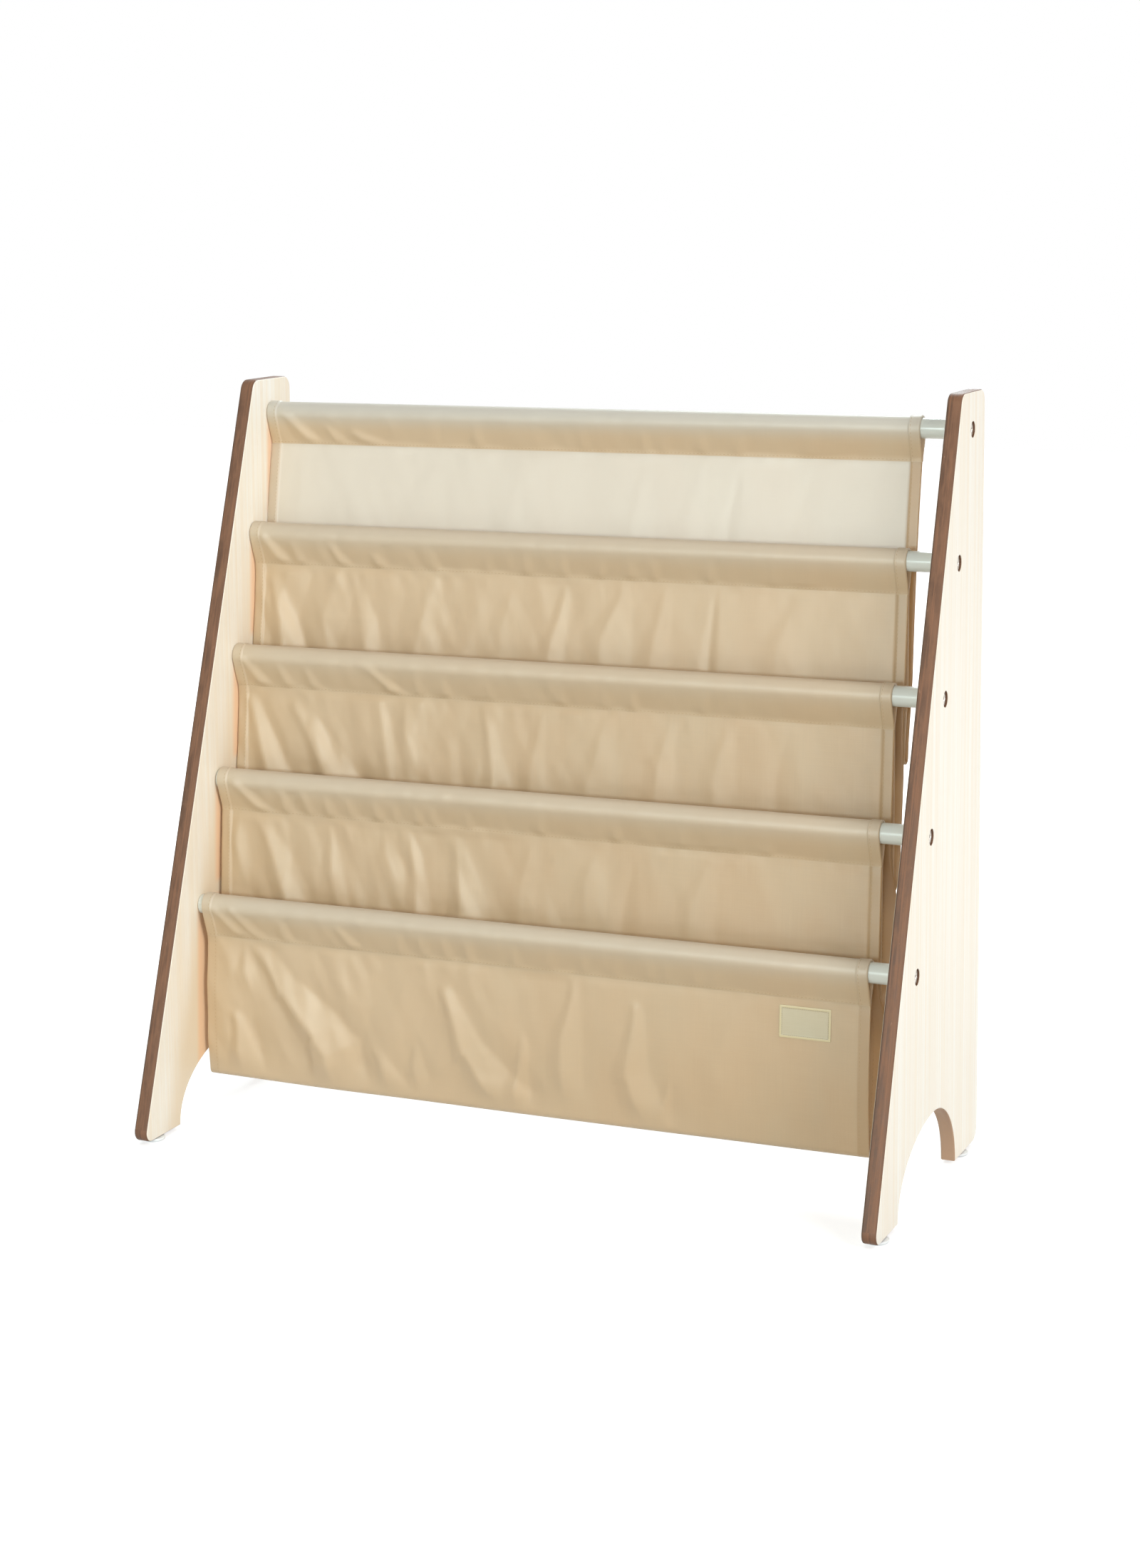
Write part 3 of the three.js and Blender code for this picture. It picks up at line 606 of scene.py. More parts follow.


# Canvas strip.

# Folds seen on the strip, each drawn as the line of its crest, in millimetres across
# the shelf and below the seam above it, then how far it falls away on its left and on its
# right, and its height. A negative height is a hollow.
WALL_FOLDS = {
    1: (
        (((-262, 3), (-244, 62), (-236, 110)), 26, 30, 1.2),
        (((-205, 10), (-192, 70), (-186, 120)), 24, 20, 0.6),
        (((-128, 2), (-120, 70)), 36, 30, 0.5),
        (((-52, 5), (-46, 80)), 26, 20, 0.4),
        (((52, 0), (56, 80)), 18, 14, 0.55),
        (((98, 0), (100, 80)), 16, 12, 0.45),
        (((128, 0), (127, 90)), 10, 18, -0.6),
        (((196, 0), (192, 80)), 22, 16, -0.35),
    ),
    2: (
        (((-276, 3), (-258, 40), (-246, 72), (-236, 130)), 24, 17, 3.0),
        (((-200, -1), (-174, 62), (-160, 120)), 20, 20, 1.1),
        (((-130, 10), (-128, 62), (-126, 100)), 18, 20, 0.6),
        (((-53, 4), (-50, 66)), 18, 20, 0.55),
        (((-6, -1), (-12, 62), (-14, 110)), 15, 12, 1.0),
        (((46, 4), (46, 70)), 26, 10, 0.9),
        (((79, 3), (80, 60), (82, 100)), 19, 26, 0.6),
        (((118, 0), (118, 90)), 6, 18, -0.6),
        (((190, 5), (196, 70)), 26, 26, 0.4),
    ),
    3: (
        (((-282, 3), (-246, 70), (-232, 120)), 22, 18, 2.4),
        (((-238, 4), (-182, 68), (-160, 130)), 30, 20, 3.0),
        (((-163, -1), (-145, 52), (-136, 90)), 12, 12, 0.8),
        (((-140, -1), (-124, 40)), 11, 14, 1.0),
        (((-66, 3), (-46, 62), (-40, 120)), 17, 18, 1.5),
        (((-14, 0), (-14, 80)), 14, 16, 0.6),
        (((45, 0), (46, 70), (48, 120)), 28, 18, 0.8),
        (((96, 0), (94, 70)), 14, 12, 0.5),
        (((146, 0), (146, 70)), 18, 12, 0.5),
        (((196, 0), (198, 70)), 18, 12, -0.4),
    ),
    4: (
        (((-276, -1), (-268, 34)), 11, 12, 1.2),
        (((-254, -1), (-212, 60), (-196, 120)), 26, 17, 2.6),
        (((-192, 4), (-176, 62)), 11, 20, 1.1),
        (((-144, -1), (-128, 32)), 10, 9, 1.0),
        (((-118, -1), (-101, 62), (-94, 110)), 14, 13, 1.4),
        (((-76, -1), (-50, 62), (-40, 120)), 28, 20, 2.5),
        (((-10, 4), (-8, 60)), 14, 14, 0.5),
        (((49, 0), (52, 50)), 18, 24, 0.5),
        (((76, 16), (78, 80)), 12, 16, -0.4),
        (((144, 0), (144, 70)), 22, 16, 0.5),
    ),
    5: (
        (((-256, 4), (-244, 32)), 11, 9, 1.1),
        (((-240, -2), (-214, 26), (-176, 52), (-154, 74), (-148, 108)), 30, 11, 3.3),
        (((-262, 60), (-236, 122)), 20, 14, 2.3),
        (((-192, 76), (-170, 120)), 17, 15, 1.7),
        (((-136, 76), (-104, 114)), 16, 14, 1.2),
        (((-100, 70), (-92, 100)), 10, 16, 0.8),
        (((-70, 18), (-46, 60), (-4, 100), (-3, 122)), 26, 8, 2.2),
        (((-4, 56), (-3, 122)), 12, 5, 1.2),
        (((41, 8), (43, 84)), 17, 16, 1.2),
        (((94, 18), (98, 70), (117, 112)), 20, 8, 1.5),
        (((118, 78), (117, 124)), 10, 6, 0.9),
        (((176, 12), (182, 90)), 26, 24, 0.4),
    ),
}

# Pulls on the sleeves run from the rod down to the seam: x and drop at the start and the end,
# and the height of the pull. The drop is negative above the seam.
SLEEVE_PULLS = {
    1: ((-281, -33, -250, -5, 1.2), (-241, -20, -222, -1, 0.9), (-218, -16, -181, -1, 1.0),
        (-100, -22, -97, -3, 0.5), (-46, -20, -42, -3, 0.4), (-6, -20, -3, -3, 0.4),
        (48, -18, 50, -3, 0.5), (65, -16, 66, -3, 0.4), (97, -18, 99, -3, 0.5),
        (131, -18, 130, -3, 0.4), (191, -20, 190, -3, 0.3)),
    2: ((-284, -30, -262, -5, 1.2), (-256, -24, -246, -3, 0.7), (-219, -22, -204, -2, 1.1),
        (-181, -16, -171, -2, 0.9), (-126, -18, -122, -3, 0.6), (-76, -18, -73, -3, 0.5),
        (-41, -18, -38, -3, 0.5), (-9, -18, -7, -3, 0.6), (25, -16, 26, -3, 0.5),
        (50, -16, 51, -3, 0.4), (70, -16, 71, -3, 0.5), (118, -18, 118, -3, 0.5),
        (170, -18, 171, -3, 0.3), (200, -18, 200, -3, 0.3)),
    3: ((-286, -30, -265, -5, 1.2), (-252, -22, -240, -3, 0.8), (-226, -20, -217, -2, 0.9),
        (-168, -27, -139, -3, 1.3), (-126, -18, -121, -3, 0.6), (-101, -18, -97, -3, 0.6),
        (-61, -18, -57, -3, 0.5), (5, -18, 6, -3, 0.5), (40, -18, 42, -3, 0.5),
        (65, -18, 66, -3, 0.5), (125, -18, 125, -3, 0.4), (155, -18, 155, -3, 0.3)),
    4: ((-278, -31, -249, -5, 1.3), (-233, -22, -226, -2, 0.9), (-212, -22, -205, -2, 0.8),
        (-192, -20, -186, -2, 0.8), (-172, -20, -166, -2, 0.7), (-147, -18, -142, -2, 0.7),
        (-131, -18, -126, -2, 0.6), (-111, -18, -107, -2, 0.7), (-96, -18, -92, -2, 0.7),
        (-66, -18, -62, -3, 0.5), (0, -18, 1, -3, 0.5), (65, -18, 65, -3, 0.5),
        (120, -18, 120, -3, 0.4), (165, -18, 165, -3, 0.3), (190, -9, 191, -1, 0.5)),
    5: ((-282, -31, -252, -4, 1.3), (-266, -32, -238, -5, 1.1), (-218, -22, -210, -2, 0.8),
        (-168, -24, -147, -2, 1.0), (-111, -20, -107, -2, 0.7), (-91, -20, -86, -2, 0.7),
        (-71, -20, -66, -2, 0.7), (-51, -18, -47, -3, 0.6), (-9, -18, -7, -3, 0.6),
        (20, -18, 21, -3, 0.5), (50, -18, 51, -3, 0.5), (78, -18, 79, -3, 0.5),
        (105, -18, 105, -3, 0.4), (120, -18, 120, -3, 0.4), (145, -18, 145, -3, 0.4),
        (160, -18, 160, -3, 0.3)),
}

# How each pocket's back wall leans: above 1 it hangs forward, below 1 it bellies backward.
BACK_WALL_POWERS = (1.9, 0.95, 0.75, 0.8)

# How far each pocket's bottom swings forward, and how far the right hem of its back wall flares
# out, in millimetres.
SWINGS = (8.0, 0.0, 0.0, 0.0)
FLARES = (0.0, 1.0, 4.0, 6.0)

# How much painted light each wall that shows gets at its left and right side, and the painted
# highlight on the tops of the sleeves on top of that.
PAINTED_SIDE_LIGHT = ((1.0, 0.0), (1.0, 0.4), (0.9, 0.0), (0.75, 0.0), (1.0, 0.15))
SLEEVE_TOP_HIGHLIGHT = (1.25, 0.6, 0.45, 0.55, 0.65)


def smooth(low, high, value):
    """0 below low, 1 above high, and 3t^2 - 2t^3 between them."""
    t = np.clip((value - low) / (high - low), 0, 1)
    return t * t * (3 - 2 * t)


def ridge(x, d, line, left, right, height, start=5.0, end=26.0, taper=0.35):
    """A fold along a drawn line, which is its crease. To the left an even slope rises from a
    quarter of the height below the cloth to three quarters above it, and drops again more
    steeply behind its crest; to the right the cloth comes back up slowly. The fold starts narrow
    and low, by the taper, and widens."""
    nearest = np.full(x.shape, 1e9)
    side = np.zeros(x.shape)
    along = np.zeros(x.shape)
    travelled = 0.0
    pieces = list(zip(line[:-1], line[1:]))
    for index, (a, b) in enumerate(pieces):
        step = np.array([b[0] - a[0], b[1] - a[1]], float)
        length = math.hypot(*step)
        t = ((x - a[0]) * step[0] + (d - a[1]) * step[1]) / length
        held = np.clip(t, -1e9 if index == 0 else 0, 1e9 if index == len(pieces) - 1 else length)
        px, pd = a[0] + step[0] * held / length, a[1] + step[1] * held / length
        gap = np.hypot(x - px, d - pd)
        closer = gap < nearest
        turn = ((x - a[0]) * step[1] - (d - a[1]) * step[0]) / length
        side = np.where(closer, turn, side)
        nearest = np.where(closer, gap, nearest)
        along = np.where(closer, travelled + t, along)
        travelled += length
    opened = taper + (1 - taper) * smooth(0, 0.75 * travelled, along)
    soft = np.sqrt(nearest ** 2 + 1.1 ** 2) - 1.1
    ramp = soft / (1.05 * left * opened)
    back = np.clip(1 - (ramp - 1) * left / (0.4 * left + 6), 0, 1) ** 1.3
    on_left = np.where(ramp < 1, ramp - 0.25, 0.75 * back)
    on_right = -0.25 * (1 - np.clip(soft / (1.4 * right + 6), 0, 1)) ** 1.3
    across = np.where(side < 0, on_left, on_right)
    fade = 1 - smooth(travelled - end * 0.3, travelled + end, along)
    return height * opened * across * smooth(-start, start, along) * fade


def lattice(x, y, seed):
    """Random heights between -1 and 1 at the corners of unit cells. Gives the four corners of
    each point's cell, and the point's place in it."""
    table = np.random.default_rng(seed).uniform(-1, 1, (CELLS, CELLS))
    ix, iy = np.floor(x).astype(int), np.floor(y).astype(int)
    corners = [table[(ix + i) % CELLS, (iy + j) % CELLS] for j in (0, 1) for i in (0, 1)]
    return corners, x - ix, y - iy


def cloud(x, y, wide, tall, seed):
    """Smooth random heights between -1 and 1: values on a lattice of wide by tall cells, joined
    by smooth steps in both directions."""
    gx, gy = x / wide + CELL_START[0], y / tall + CELL_START[1]
    (a, b, c, d), fx, fy = lattice(gx, gy, seed)
    fx, fy = smooth(0, 1, fx), smooth(0, 1, fy)
    return (a * (1 - fx) + b * fx) * (1 - fy) + (c * (1 - fx) + d * fx) * fy


def facets(x, y, wide, tall, seed):
    """Crumpled flat facets with crisp creases between them: random heights on a slanted lattice,
    joined by flat triangles, two to a cell."""
    gx, gy = x / wide + CELL_START[0], y / tall + CELL_START[1]
    (a, b, c, d), fx, fy = lattice(gx + 0.5 * gy, gy, seed)
    return np.where(fx + fy < 1, a + (b - a) * fx + (c - a) * fy,
                    d + (c - d) * (1 - fx) + (b - d) * (1 - fy))


def seam_relief(x, number):
    """How the seam under rod N stands in and out along the shelf: small puckers and slow waves."""
    flat = np.zeros_like(x)
    return 0.22 * cloud(x, flat, 9, 1, 40 + number) + 0.45 * cloud(x, flat, 46, 1, 50 + number)


def relief(x, d, number, folds):
    """Height of the cloth's front side on the wall below rod N: drawn folds, crumples that are
    stronger at the left, slow waves, and puckers that die out below the seam."""
    calm = 0.30 + 0.70 * (1 - smooth(-130, 190, x))
    total = np.zeros_like(x)
    tall = 2.9 if number == RODS else 2.0
    for line, left, right, height in folds:
        total = total + ridge(x, d, line, left, right, tall * height) * smooth(-6, 22, d)
    slant = x - 0.45 * d
    rough = (1 - smooth(-190, 60, x)) * 0.85 + 0.15
    if number == 1:
        # The top wall is pulled nearly flat by the rods above and below it
        rough, total = 0.35 * rough, 0.45 * total
    total += rough * 1.2 * facets(slant, d, 23, 44, 100 + number)
    total += rough * 0.8 * facets(x - 0.8 * d, d, 10, 21, 110 + number)
    total += calm * 0.25 * cloud(slant, d, 17, 60, 160 + number)
    total += 0.55 * cloud(x, d, 58, 150, 120 + number)
    total += 0.05 * cloud(x, d, 4.2, 5.1, 130 + number)
    grow = smooth(0, 7, d)
    pucker = 0.35 * calm * cloud(x - 0.2 * d, d, 6.5, 40, 140 + number) * np.exp(-d / 12)
    return grow * (total + pucker) + (1 - grow) * seam_relief(x, number)


def sleeve_relief(x, d, number):
    """Height of the sleeve's front side between the rod and the seam under it."""
    calm = 0.35 + 0.65 * (1 - smooth(-130, 190, x))
    total = np.zeros_like(x)
    for x0, d0, x1, d1, height in SLEEVE_PULLS[number]:
        line = ((x0, d0), (x1, d1))
        total = total + ridge(x, d, line, 7.0, 6.0, 2.1 * height, end=5.0, taper=0.7)
    total += 0.45 * calm * facets(x - 0.7 * d, d, 9, 16, 200 + number)
    total += 0.30 * cloud(x, d, 34, 60, 210 + number)
    total += 0.04 * cloud(x, d, 4.2, 5.1, 220 + number)
    near = smooth(-5, 0, d)
    return (1 - near) * total + near * seam_relief(x, number)


def resampled(profile, step):
    """A profile's points again, about a step apart along it, and the distance run at each."""
    run = run_along(profile)
    count = max(int(round(run[-1] / step)), 8)
    at = run[-1] * np.arange(count + 1) / count
    return np.stack([np.interp(at, run, profile[:, k]) for k in (0, 1)], axis=1), at


def strip_columns(width, hem, cell):
    """Places across the strip: even cells, with closer ones at the edges and hem steps."""
    even = np.linspace(0, width, int(round(width / cell)) + 1)
    close = np.array([0.25, 0.6, hem - 0.5, hem, hem + 0.5])
    even = even[(np.abs(even - hem) > 0.9) & (np.abs(even - (width - hem)) > 0.9)]
    return np.unique(np.concatenate([even, close, width - close]))


def cloth_normals(points):
    """Unit normals of a grid of points: the cross product of its two tangents."""
    along, across = np.gradient(points, axis=0), np.gradient(points, axis=1)
    normal = np.cross(along, across)
    return normal / np.linalg.norm(normal, axis=2, keepdims=True)


def cloth_skins(middle, columns, width, thickness, hem):
    """The two skins of a sheet: middle surface plus and minus half the thickness along the
    normal, which is level at the seams. The inner one is doubled within the side hems, and both
    thin out at the very edge."""
    normal = cloth_normals(middle)
    normal[[0, -1]] *= (0, 1, 0)
    normal[[0, -1]] /= np.linalg.norm(normal[[0, -1]], axis=2, keepdims=True)
    inside = np.minimum(columns, width - columns)
    folded = 1 - smooth(hem - 0.5, hem + 0.5, inside)
    round_edge = 0.45 + 0.55 * np.sqrt(np.clip(inside / 0.6, 0, 1))
    outer = middle + normal * (thickness / 2 * round_edge)[None, :, None]
    extra = thickness / 2 + 0.85 * thickness * folded
    inner = middle - normal * (extra * round_edge)[None, :, None]
    return outer, inner, folded


def closed_sheet(front, back, chart):
    """Points, faces and charts of a sheet with two skins and a closed rim between them."""
    rows, count = front.shape[:2]
    points = np.concatenate([front.reshape(-1, 3), back.reshape(-1, 3)])
    uv = np.tile(chart.reshape(-1, 2), (2, 1))
    skin = rows * count
    top, _ = grid(rows, count)
    loop = np.concatenate([
        np.arange(count), np.arange(1, rows) * count + count - 1,
        (rows - 1) * count + np.arange(count - 2, -1, -1), np.arange(rows - 2, 0, -1) * count])
    after = np.roll(loop, -1)
    rim = np.stack([loop, loop + skin, after + skin, after], axis=1)
    faces = [top, top[:, ::-1] + skin, rim]
    return points, faces, [uv[group] for group in faces]


def hung_cloth(name, middle, run, columns, finish, solid, size, painted_hem_shade,
               painted_side_light, painted_top_light):
    """A sheet of canvas whose chart is in metres: u across the shelf and v along the strip.
    The two arguments before the last give the hems' painted shade and painted light that is
    stronger at the left; each is two pairs for left and right: the pocket's front wall, which
    comes first, and its back wall. The last argument is the height where painted light on the
    upper part starts, its soft edge and its share."""
    width = columns[-1] - columns[0]
    outer, inner, folded = cloth_skins(
        middle, columns, width, size.cloth / MM, size.hem / MM)
    rows, count = middle.shape[:2]
    points, faces, charts = closed_sheet(
        outer * MM, inner * MM, np.stack(np.meshgrid(columns, run), axis=-1) * MM)
    piece = make(name, points, faces, finish, node=solid, charts=charts, sharp=50)
    is_front = (np.arange(rows) < np.argmin(middle[:, count // 2, 2]))[:, None]

    def by_wall(pairs):
        first, second = (np.interp(columns, (0, width), pair) for pair in pairs)
        return np.where(is_front, first, second)

    start, soft, share = painted_top_light
    for key, values in (("hem", by_wall(painted_hem_shade) * folded), ("painted_side_light", by_wall(painted_side_light)),
                        ("painted_top_light", share * smooth(start, start + soft, middle[..., 2]))):
        field = piece.data.attributes.new(key, "FLOAT", "POINT")
        field.data.foreach_set("value", np.tile(values.ravel(), 2).astype(np.float32))
    return outer * MM, inner * MM


def sling_frame():
    """The strip's own sizes in millimetres, read from its solids: its width and the place of
    each sleeve's left edge."""
    low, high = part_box("sling_sleeve_1")
    lefts = [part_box(f"sling_sleeve_{k}")[0].x / MM for k in range(1, RODS + 1)]
    return (high.x - low.x) / MM, lefts


def sleeve_middle(number, size):
    """The sleeve's middle surface: straight up from the seam, round the rod, and down behind."""
    width, lefts = sling_frame()
    cell_across, cell_along = 2.0, 1.6
    columns = strip_columns(width, size.hem / MM, cell_across)
    half = size.cloth / MM / 2
    low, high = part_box(f"rod_{number}")
    slack = 0.35
    radius = (high.z - low.z) / 2 / MM + slack + half
    offset = half + SEAM_GAP
    drop = size.seam_drop / MM
    lean = math.atan2(-drop, -offset) + 2 * math.pi
    tangent = lean - math.acos(radius / math.hypot(offset, drop))
    sweep = 2 * (tangent - math.pi / 2)
    angle = tangent - sweep * np.linspace(0, 1, 61)
    arc = radius * np.stack([np.cos(angle), np.sin(angle)], axis=1)
    pinch = np.array([[-offset, -drop], [-offset - 0.25, -drop + 2.5]])
    profile = np.concatenate([pinch, arc, pinch[::-1] * np.array([-1, 1])])
    rows, run = resampled(profile, cell_along)
    across, up = rows[:, :1], rows[:, 1:2]
    x = np.broadcast_to(lefts[number - 1] + columns, (len(rows), len(columns)))
    below = np.broadcast_to(-(up + drop), x.shape)
    # The relief stands out from the rod's axis round the rod, and level near the seam
    upright = smooth(-drop * 0.55, -drop * 0.1, up)
    flat = np.concatenate([np.sign(across), np.zeros_like(up)], axis=1)
    outward = rows / np.linalg.norm(rows, axis=1, keepdims=True) * upright + flat * (1 - upright)
    rear = 0.5 * cloud(x, below, 13, 40, 300 + number) + 0.3 * cloud(x, below, 40, 60, 310)
    rear = rear * (1 - smooth(-5, 0, below))
    is_front = across < 0
    height = np.where(is_front, sleeve_relief(x, below, number), rear) * (1 - smooth(2, 8, up))
    height = np.where(up > -6, np.maximum(height, -0.2), height)
    height = np.where((below > -0.01) & ~is_front, -seam_relief(x, number), height)
    y, z = rod_place(number) / MM
    return np.stack([x, y + across + outward[:, :1] * height,
                     z + up + outward[:, 1:2] * height], axis=-1), run, columns


def pocket_profile(number, size):
    """The pocket's side view: plumb front wall, round bottom, and a back wall that leans back
    to the rod above, as a power of its height that falls from pocket to pocket."""
    rear, front = rod_place(number) / MM, rod_place(number + 1) / MM
    offset = size.cloth / MM / 2 + SEAM_GAP
    drop = size.seam_drop / MM
    lowest = number == RODS - 1
    solid_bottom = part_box(f"sling_pocket_{number}")[0].z / MM
    bend, clear = 4.5, 0.5
    # The lowest pocket hangs a little lower, and its front wall bows forward
    sag, bow = (2.3, 2.5) if lowest else (0.0, 0.0)
    centre_z = solid_bottom + clear + bend - sag
    front_y = front[0] + (-offset if lowest else offset)
    rear_y = rear[0] - offset
    wall = np.linspace(front[1] - drop, centre_z, 80)
    share = (wall - wall[0]) / (wall[-1] - wall[0])
    front_wall = np.stack([front_y - bow * np.sin(np.pi * share), wall], axis=1)
    angle = np.pi * np.arange(1, 24) / 24
    round_bottom = np.stack([front_y + bend * (1 - np.cos(angle)),
                             centre_z - bend * np.sin(angle)], axis=1)
    up = np.linspace(0, 1, 120)
    lean = up ** BACK_WALL_POWERS[number - 1]
    back_wall = np.stack([front_y + 2 * bend + (rear_y - front_y - 2 * bend) * lean,
                          centre_z + (rear[1] - drop - centre_z) * up], axis=1)
    turn = len(front_wall) + len(round_bottom) // 2
    profile = np.concatenate([front_wall, round_bottom, back_wall])
    run = run_along(profile)
    return profile, run[turn]


def pocket_middle(number, size):
    """The pocket's middle surface: its side view swept across the shelf, with the drawn folds
    and crumples standing out towards the front of each wall."""
    width, lefts = sling_frame()
    columns = strip_columns(width, size.hem / MM, size.cell / MM)
    profile, half_way = pocket_profile(number, size)
    rows, run = resampled(profile, size.cell / MM)
    lowest = number == RODS - 1
    share = (run / run[-1])[:, None]
    x = columns + lefts[number] * (1 - share) + lefts[number - 1] * share
    z = np.broadcast_to(rows[:, 1:2], x.shape)
    above = z - rows[:, 1].min()
    rearward = (run > half_way)[:, None]
    # Walls that hang from the same seam have the same folds, so the layers lie together
    front = relief(x, rows[0, 1] - z, number + 1, WALL_FOLDS[number + 1])
    back = relief(x, rows[-1, 1] - z, number, WALL_FOLDS[number])
    height = np.where(rearward, back * smooth(2, 60, above),
                      front * smooth(1, 26 if lowest else 40, above))
    tangent = np.gradient(rows, axis=0)
    tangent /= np.linalg.norm(tangent, axis=1, keepdims=True)
    facing = np.stack([-np.abs(tangent[:, 1]), np.abs(tangent[:, 0]) * (tangent[:, 1] > 0)], axis=1)
    # The bottom rises at the hems and waves between them, swings forward, and flares at the right
    across = 2 * columns / width - 1
    waves = 0.6 * cloud(columns, columns * 0, 95, 1, 400 + number) * (1 - across ** 2)
    lift = (0.9 * across ** 4 + waves) * (1 - smooth(0, 110, above))
    swing = SWINGS[number - 1] * (1 - smooth(0, 70, above))
    window = smooth(0, 20, above) * (1 - smooth(85, 130, above)) * rearward
    flare = window * smooth(width - 15, width, columns) * FLARES[number - 1]
    y = rows[:, :1] + facing[:, :1] * height - swing + 1.6 * flare
    z = z + facing[:, 1:2] * height + lift
    return np.stack([x + flare, y, z], axis=-1), run, columns


def thread_line(surface, normals, step, length, radius, lift):
    """A row of stitches along a line of surface points: each one a short tapered thread,
    bowed a little away from the cloth."""
    run = run_along(surface)
    centre = np.arange(step / 2, run[-1] - step / 2, step)
    t = np.linspace(-1, 1, THREAD_RINGS)
    at = centre[:, None] + t * length / 2
    spine, out = (np.stack([np.interp(at, run, values[:, k]) for k in range(3)], axis=-1)
                  for values in (surface, normals))
    out /= np.linalg.norm(out, axis=-1, keepdims=True)
    along = spine[:, -1] - spine[:, 0]
    along = (along / np.linalg.norm(along, axis=-1, keepdims=True))[:, None, :]
    cross = np.cross(out, along)
    bow = np.sqrt(np.clip(1 - 0.85 * t ** 2, 0, 1))
    spine = spine + out * (lift + radius * 0.6 * (bow - 0.7))[:, None]
    angle = (2 * np.pi * np.arange(THREAD_SIDES) / THREAD_SIDES)[:, None, None, None]
    thick = radius * np.array([0.35, 0.9, 1.0, 0.9, 0.35])
    points = spine + (np.cos(angle) * out + np.sin(angle) * cross) * thick[:, None]
    points = np.moveaxis(points, 0, 2).reshape(-1, 3)
    body, _ = grid(THREAD_RINGS, THREAD_SIDES, wrap=True)
    around = np.arange(THREAD_SIDES)
    ends = np.stack([-around % THREAD_SIDES, (THREAD_RINGS - 1) * THREAD_SIDES + around])
    start = (THREAD_RINGS * THREAD_SIDES * np.arange(len(centre)))[:, None, None]
    return points, [(body + start).reshape(-1, 4), (ends + start).reshape(-1, THREAD_SIDES)]


def joined(parts):
    """Several meshes' points and faces as one."""
    firsts = np.cumsum([0] + [len(points) for points, _ in parts[:-1]])
    faces = [np.concatenate([groups[kind] + first for (_, groups), first in zip(parts, firsts)])
             for kind in (0, 1)]
    return np.concatenate([points for points, _ in parts]), faces


def blended(skin, rows, columns):
    """Points of a grid at fractional rows and columns, each between its four neighbours."""
    r, c = np.broadcast_arrays(np.asarray(rows, float), np.asarray(columns, float))
    r0, c0 = (np.minimum(at.astype(int), count - 2) for at, count in zip((r, c), skin.shape))
    fr, fc = (r - r0)[..., None], (c - c0)[..., None]
    return (skin[r0, c0] * (1 - fr) * (1 - fc) + skin[r0, c0 + 1] * (1 - fr) * fc
            + skin[r0 + 1, c0] * fr * (1 - fc) + skin[r0 + 1, c0 + 1] * fr * fc)


def line_at(skin, middle, rows, columns):
    """A line of a skin's points at fractional rows and columns, with the directions away from
    the cloth's middle."""
    surface = blended(skin, rows, columns)
    away = surface - blended(middle, rows, columns)
    return surface, away / np.linalg.norm(away, axis=1, keepdims=True)


# Operators: one for each group of pieces, and one for the stage.


def settings(context):
    """The user's sizes, colours and stage values."""
    scene = context.scene
    return scene.shelf_sizes, scene.shelf_colours, scene.shelf_stage


def finish_named(name, build):
    """A material made once and then shared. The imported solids' own materials have plain names."""
    found = bpy.data.materials.get(f"{name}_finish")
    if found is None:
        found = build()
        found.name = f"{name}_finish"
    return found


def hold_camera(scene, lens):
    """The camera at the photo's viewing angle. Its shift puts the point that it looks straight
    at where the photo has it."""
    photo_wide, photo_tall = 1600, 2200
    sight_x, sight_y = 733, 860
    yaw, pitch, roll = (math.radians(a) for a in (24.29, 8.39, -0.67))
    camera = bpy.data.cameras.new("camera")
    camera.lens = lens
    camera.sensor_width = 36
    camera.shift_x = (photo_wide / 2 - sight_x) / photo_tall
    camera.shift_y = (sight_y - photo_tall / 2) / photo_tall
    camera.clip_end = 40
    forward = Vector((-math.sin(yaw) * math.cos(pitch), math.cos(yaw) * math.cos(pitch),
                      -math.sin(pitch)))
    level = Vector((math.cos(yaw), math.sin(yaw), 0))
    upward = level.cross(forward)
    right = math.cos(roll) * level + math.sin(roll) * upward
    up = -math.sin(roll) * level + math.cos(roll) * upward
    holder = bpy.data.objects.new("camera", camera)
    holder.matrix_world = Matrix.Translation((0.912, -2.0716, 0.765)) @ Matrix(
        (right, up, -forward)).transposed().to_4x4()
    scene.collection.objects.link(holder)
    scene.camera = holder


def hang_lamp(scene, name, place, target, width, power, colour):
    """A round soft lamp at a place in metres, turned to its target."""
    lamp = bpy.data.lights.new(name, "AREA")
    lamp.shape, lamp.size, lamp.energy, lamp.color = "DISK", width, power, colour
    stand = bpy.data.objects.new(name, lamp)
    aim = (Vector(target) - Vector(place)).to_track_quat("-Z", "Y")
    stand.matrix_world = Matrix.Translation(place) @ aim.to_matrix().to_4x4()
    scene.collection.objects.link(stand)


def even_light(scene, strength):
    """A world that lights the shelf evenly, and is plain white to the eye, in gloss and
    through glass."""
    world = bpy.data.worlds.new("studio")
    scene.world = world
    world.use_nodes = True
    tree = world.node_tree
    tree.nodes.clear()
    path = node(tree, "ShaderNodeLightPath").outputs
    seen = calc(tree, "ADD", path["Is Camera Ray"], path["Is Glossy Ray"])
    seen = calc(tree, "ADD", seen, path["Is Transmission Ray"])
    soft, white = (
        node(tree, "ShaderNodeBackground", {"Color": colour, "Strength": power}).outputs[0]
        for colour, power in (((1, 0.985, 0.965, 1), strength), ((1, 1, 1, 1), 1.0)))
    both = node(tree, "ShaderNodeMixShader", {
        0: calc(tree, "MINIMUM", seen, 1.0), 1: soft, 2: white})
    node(tree, "ShaderNodeOutputWorld", {"Surface": both.outputs[0]})


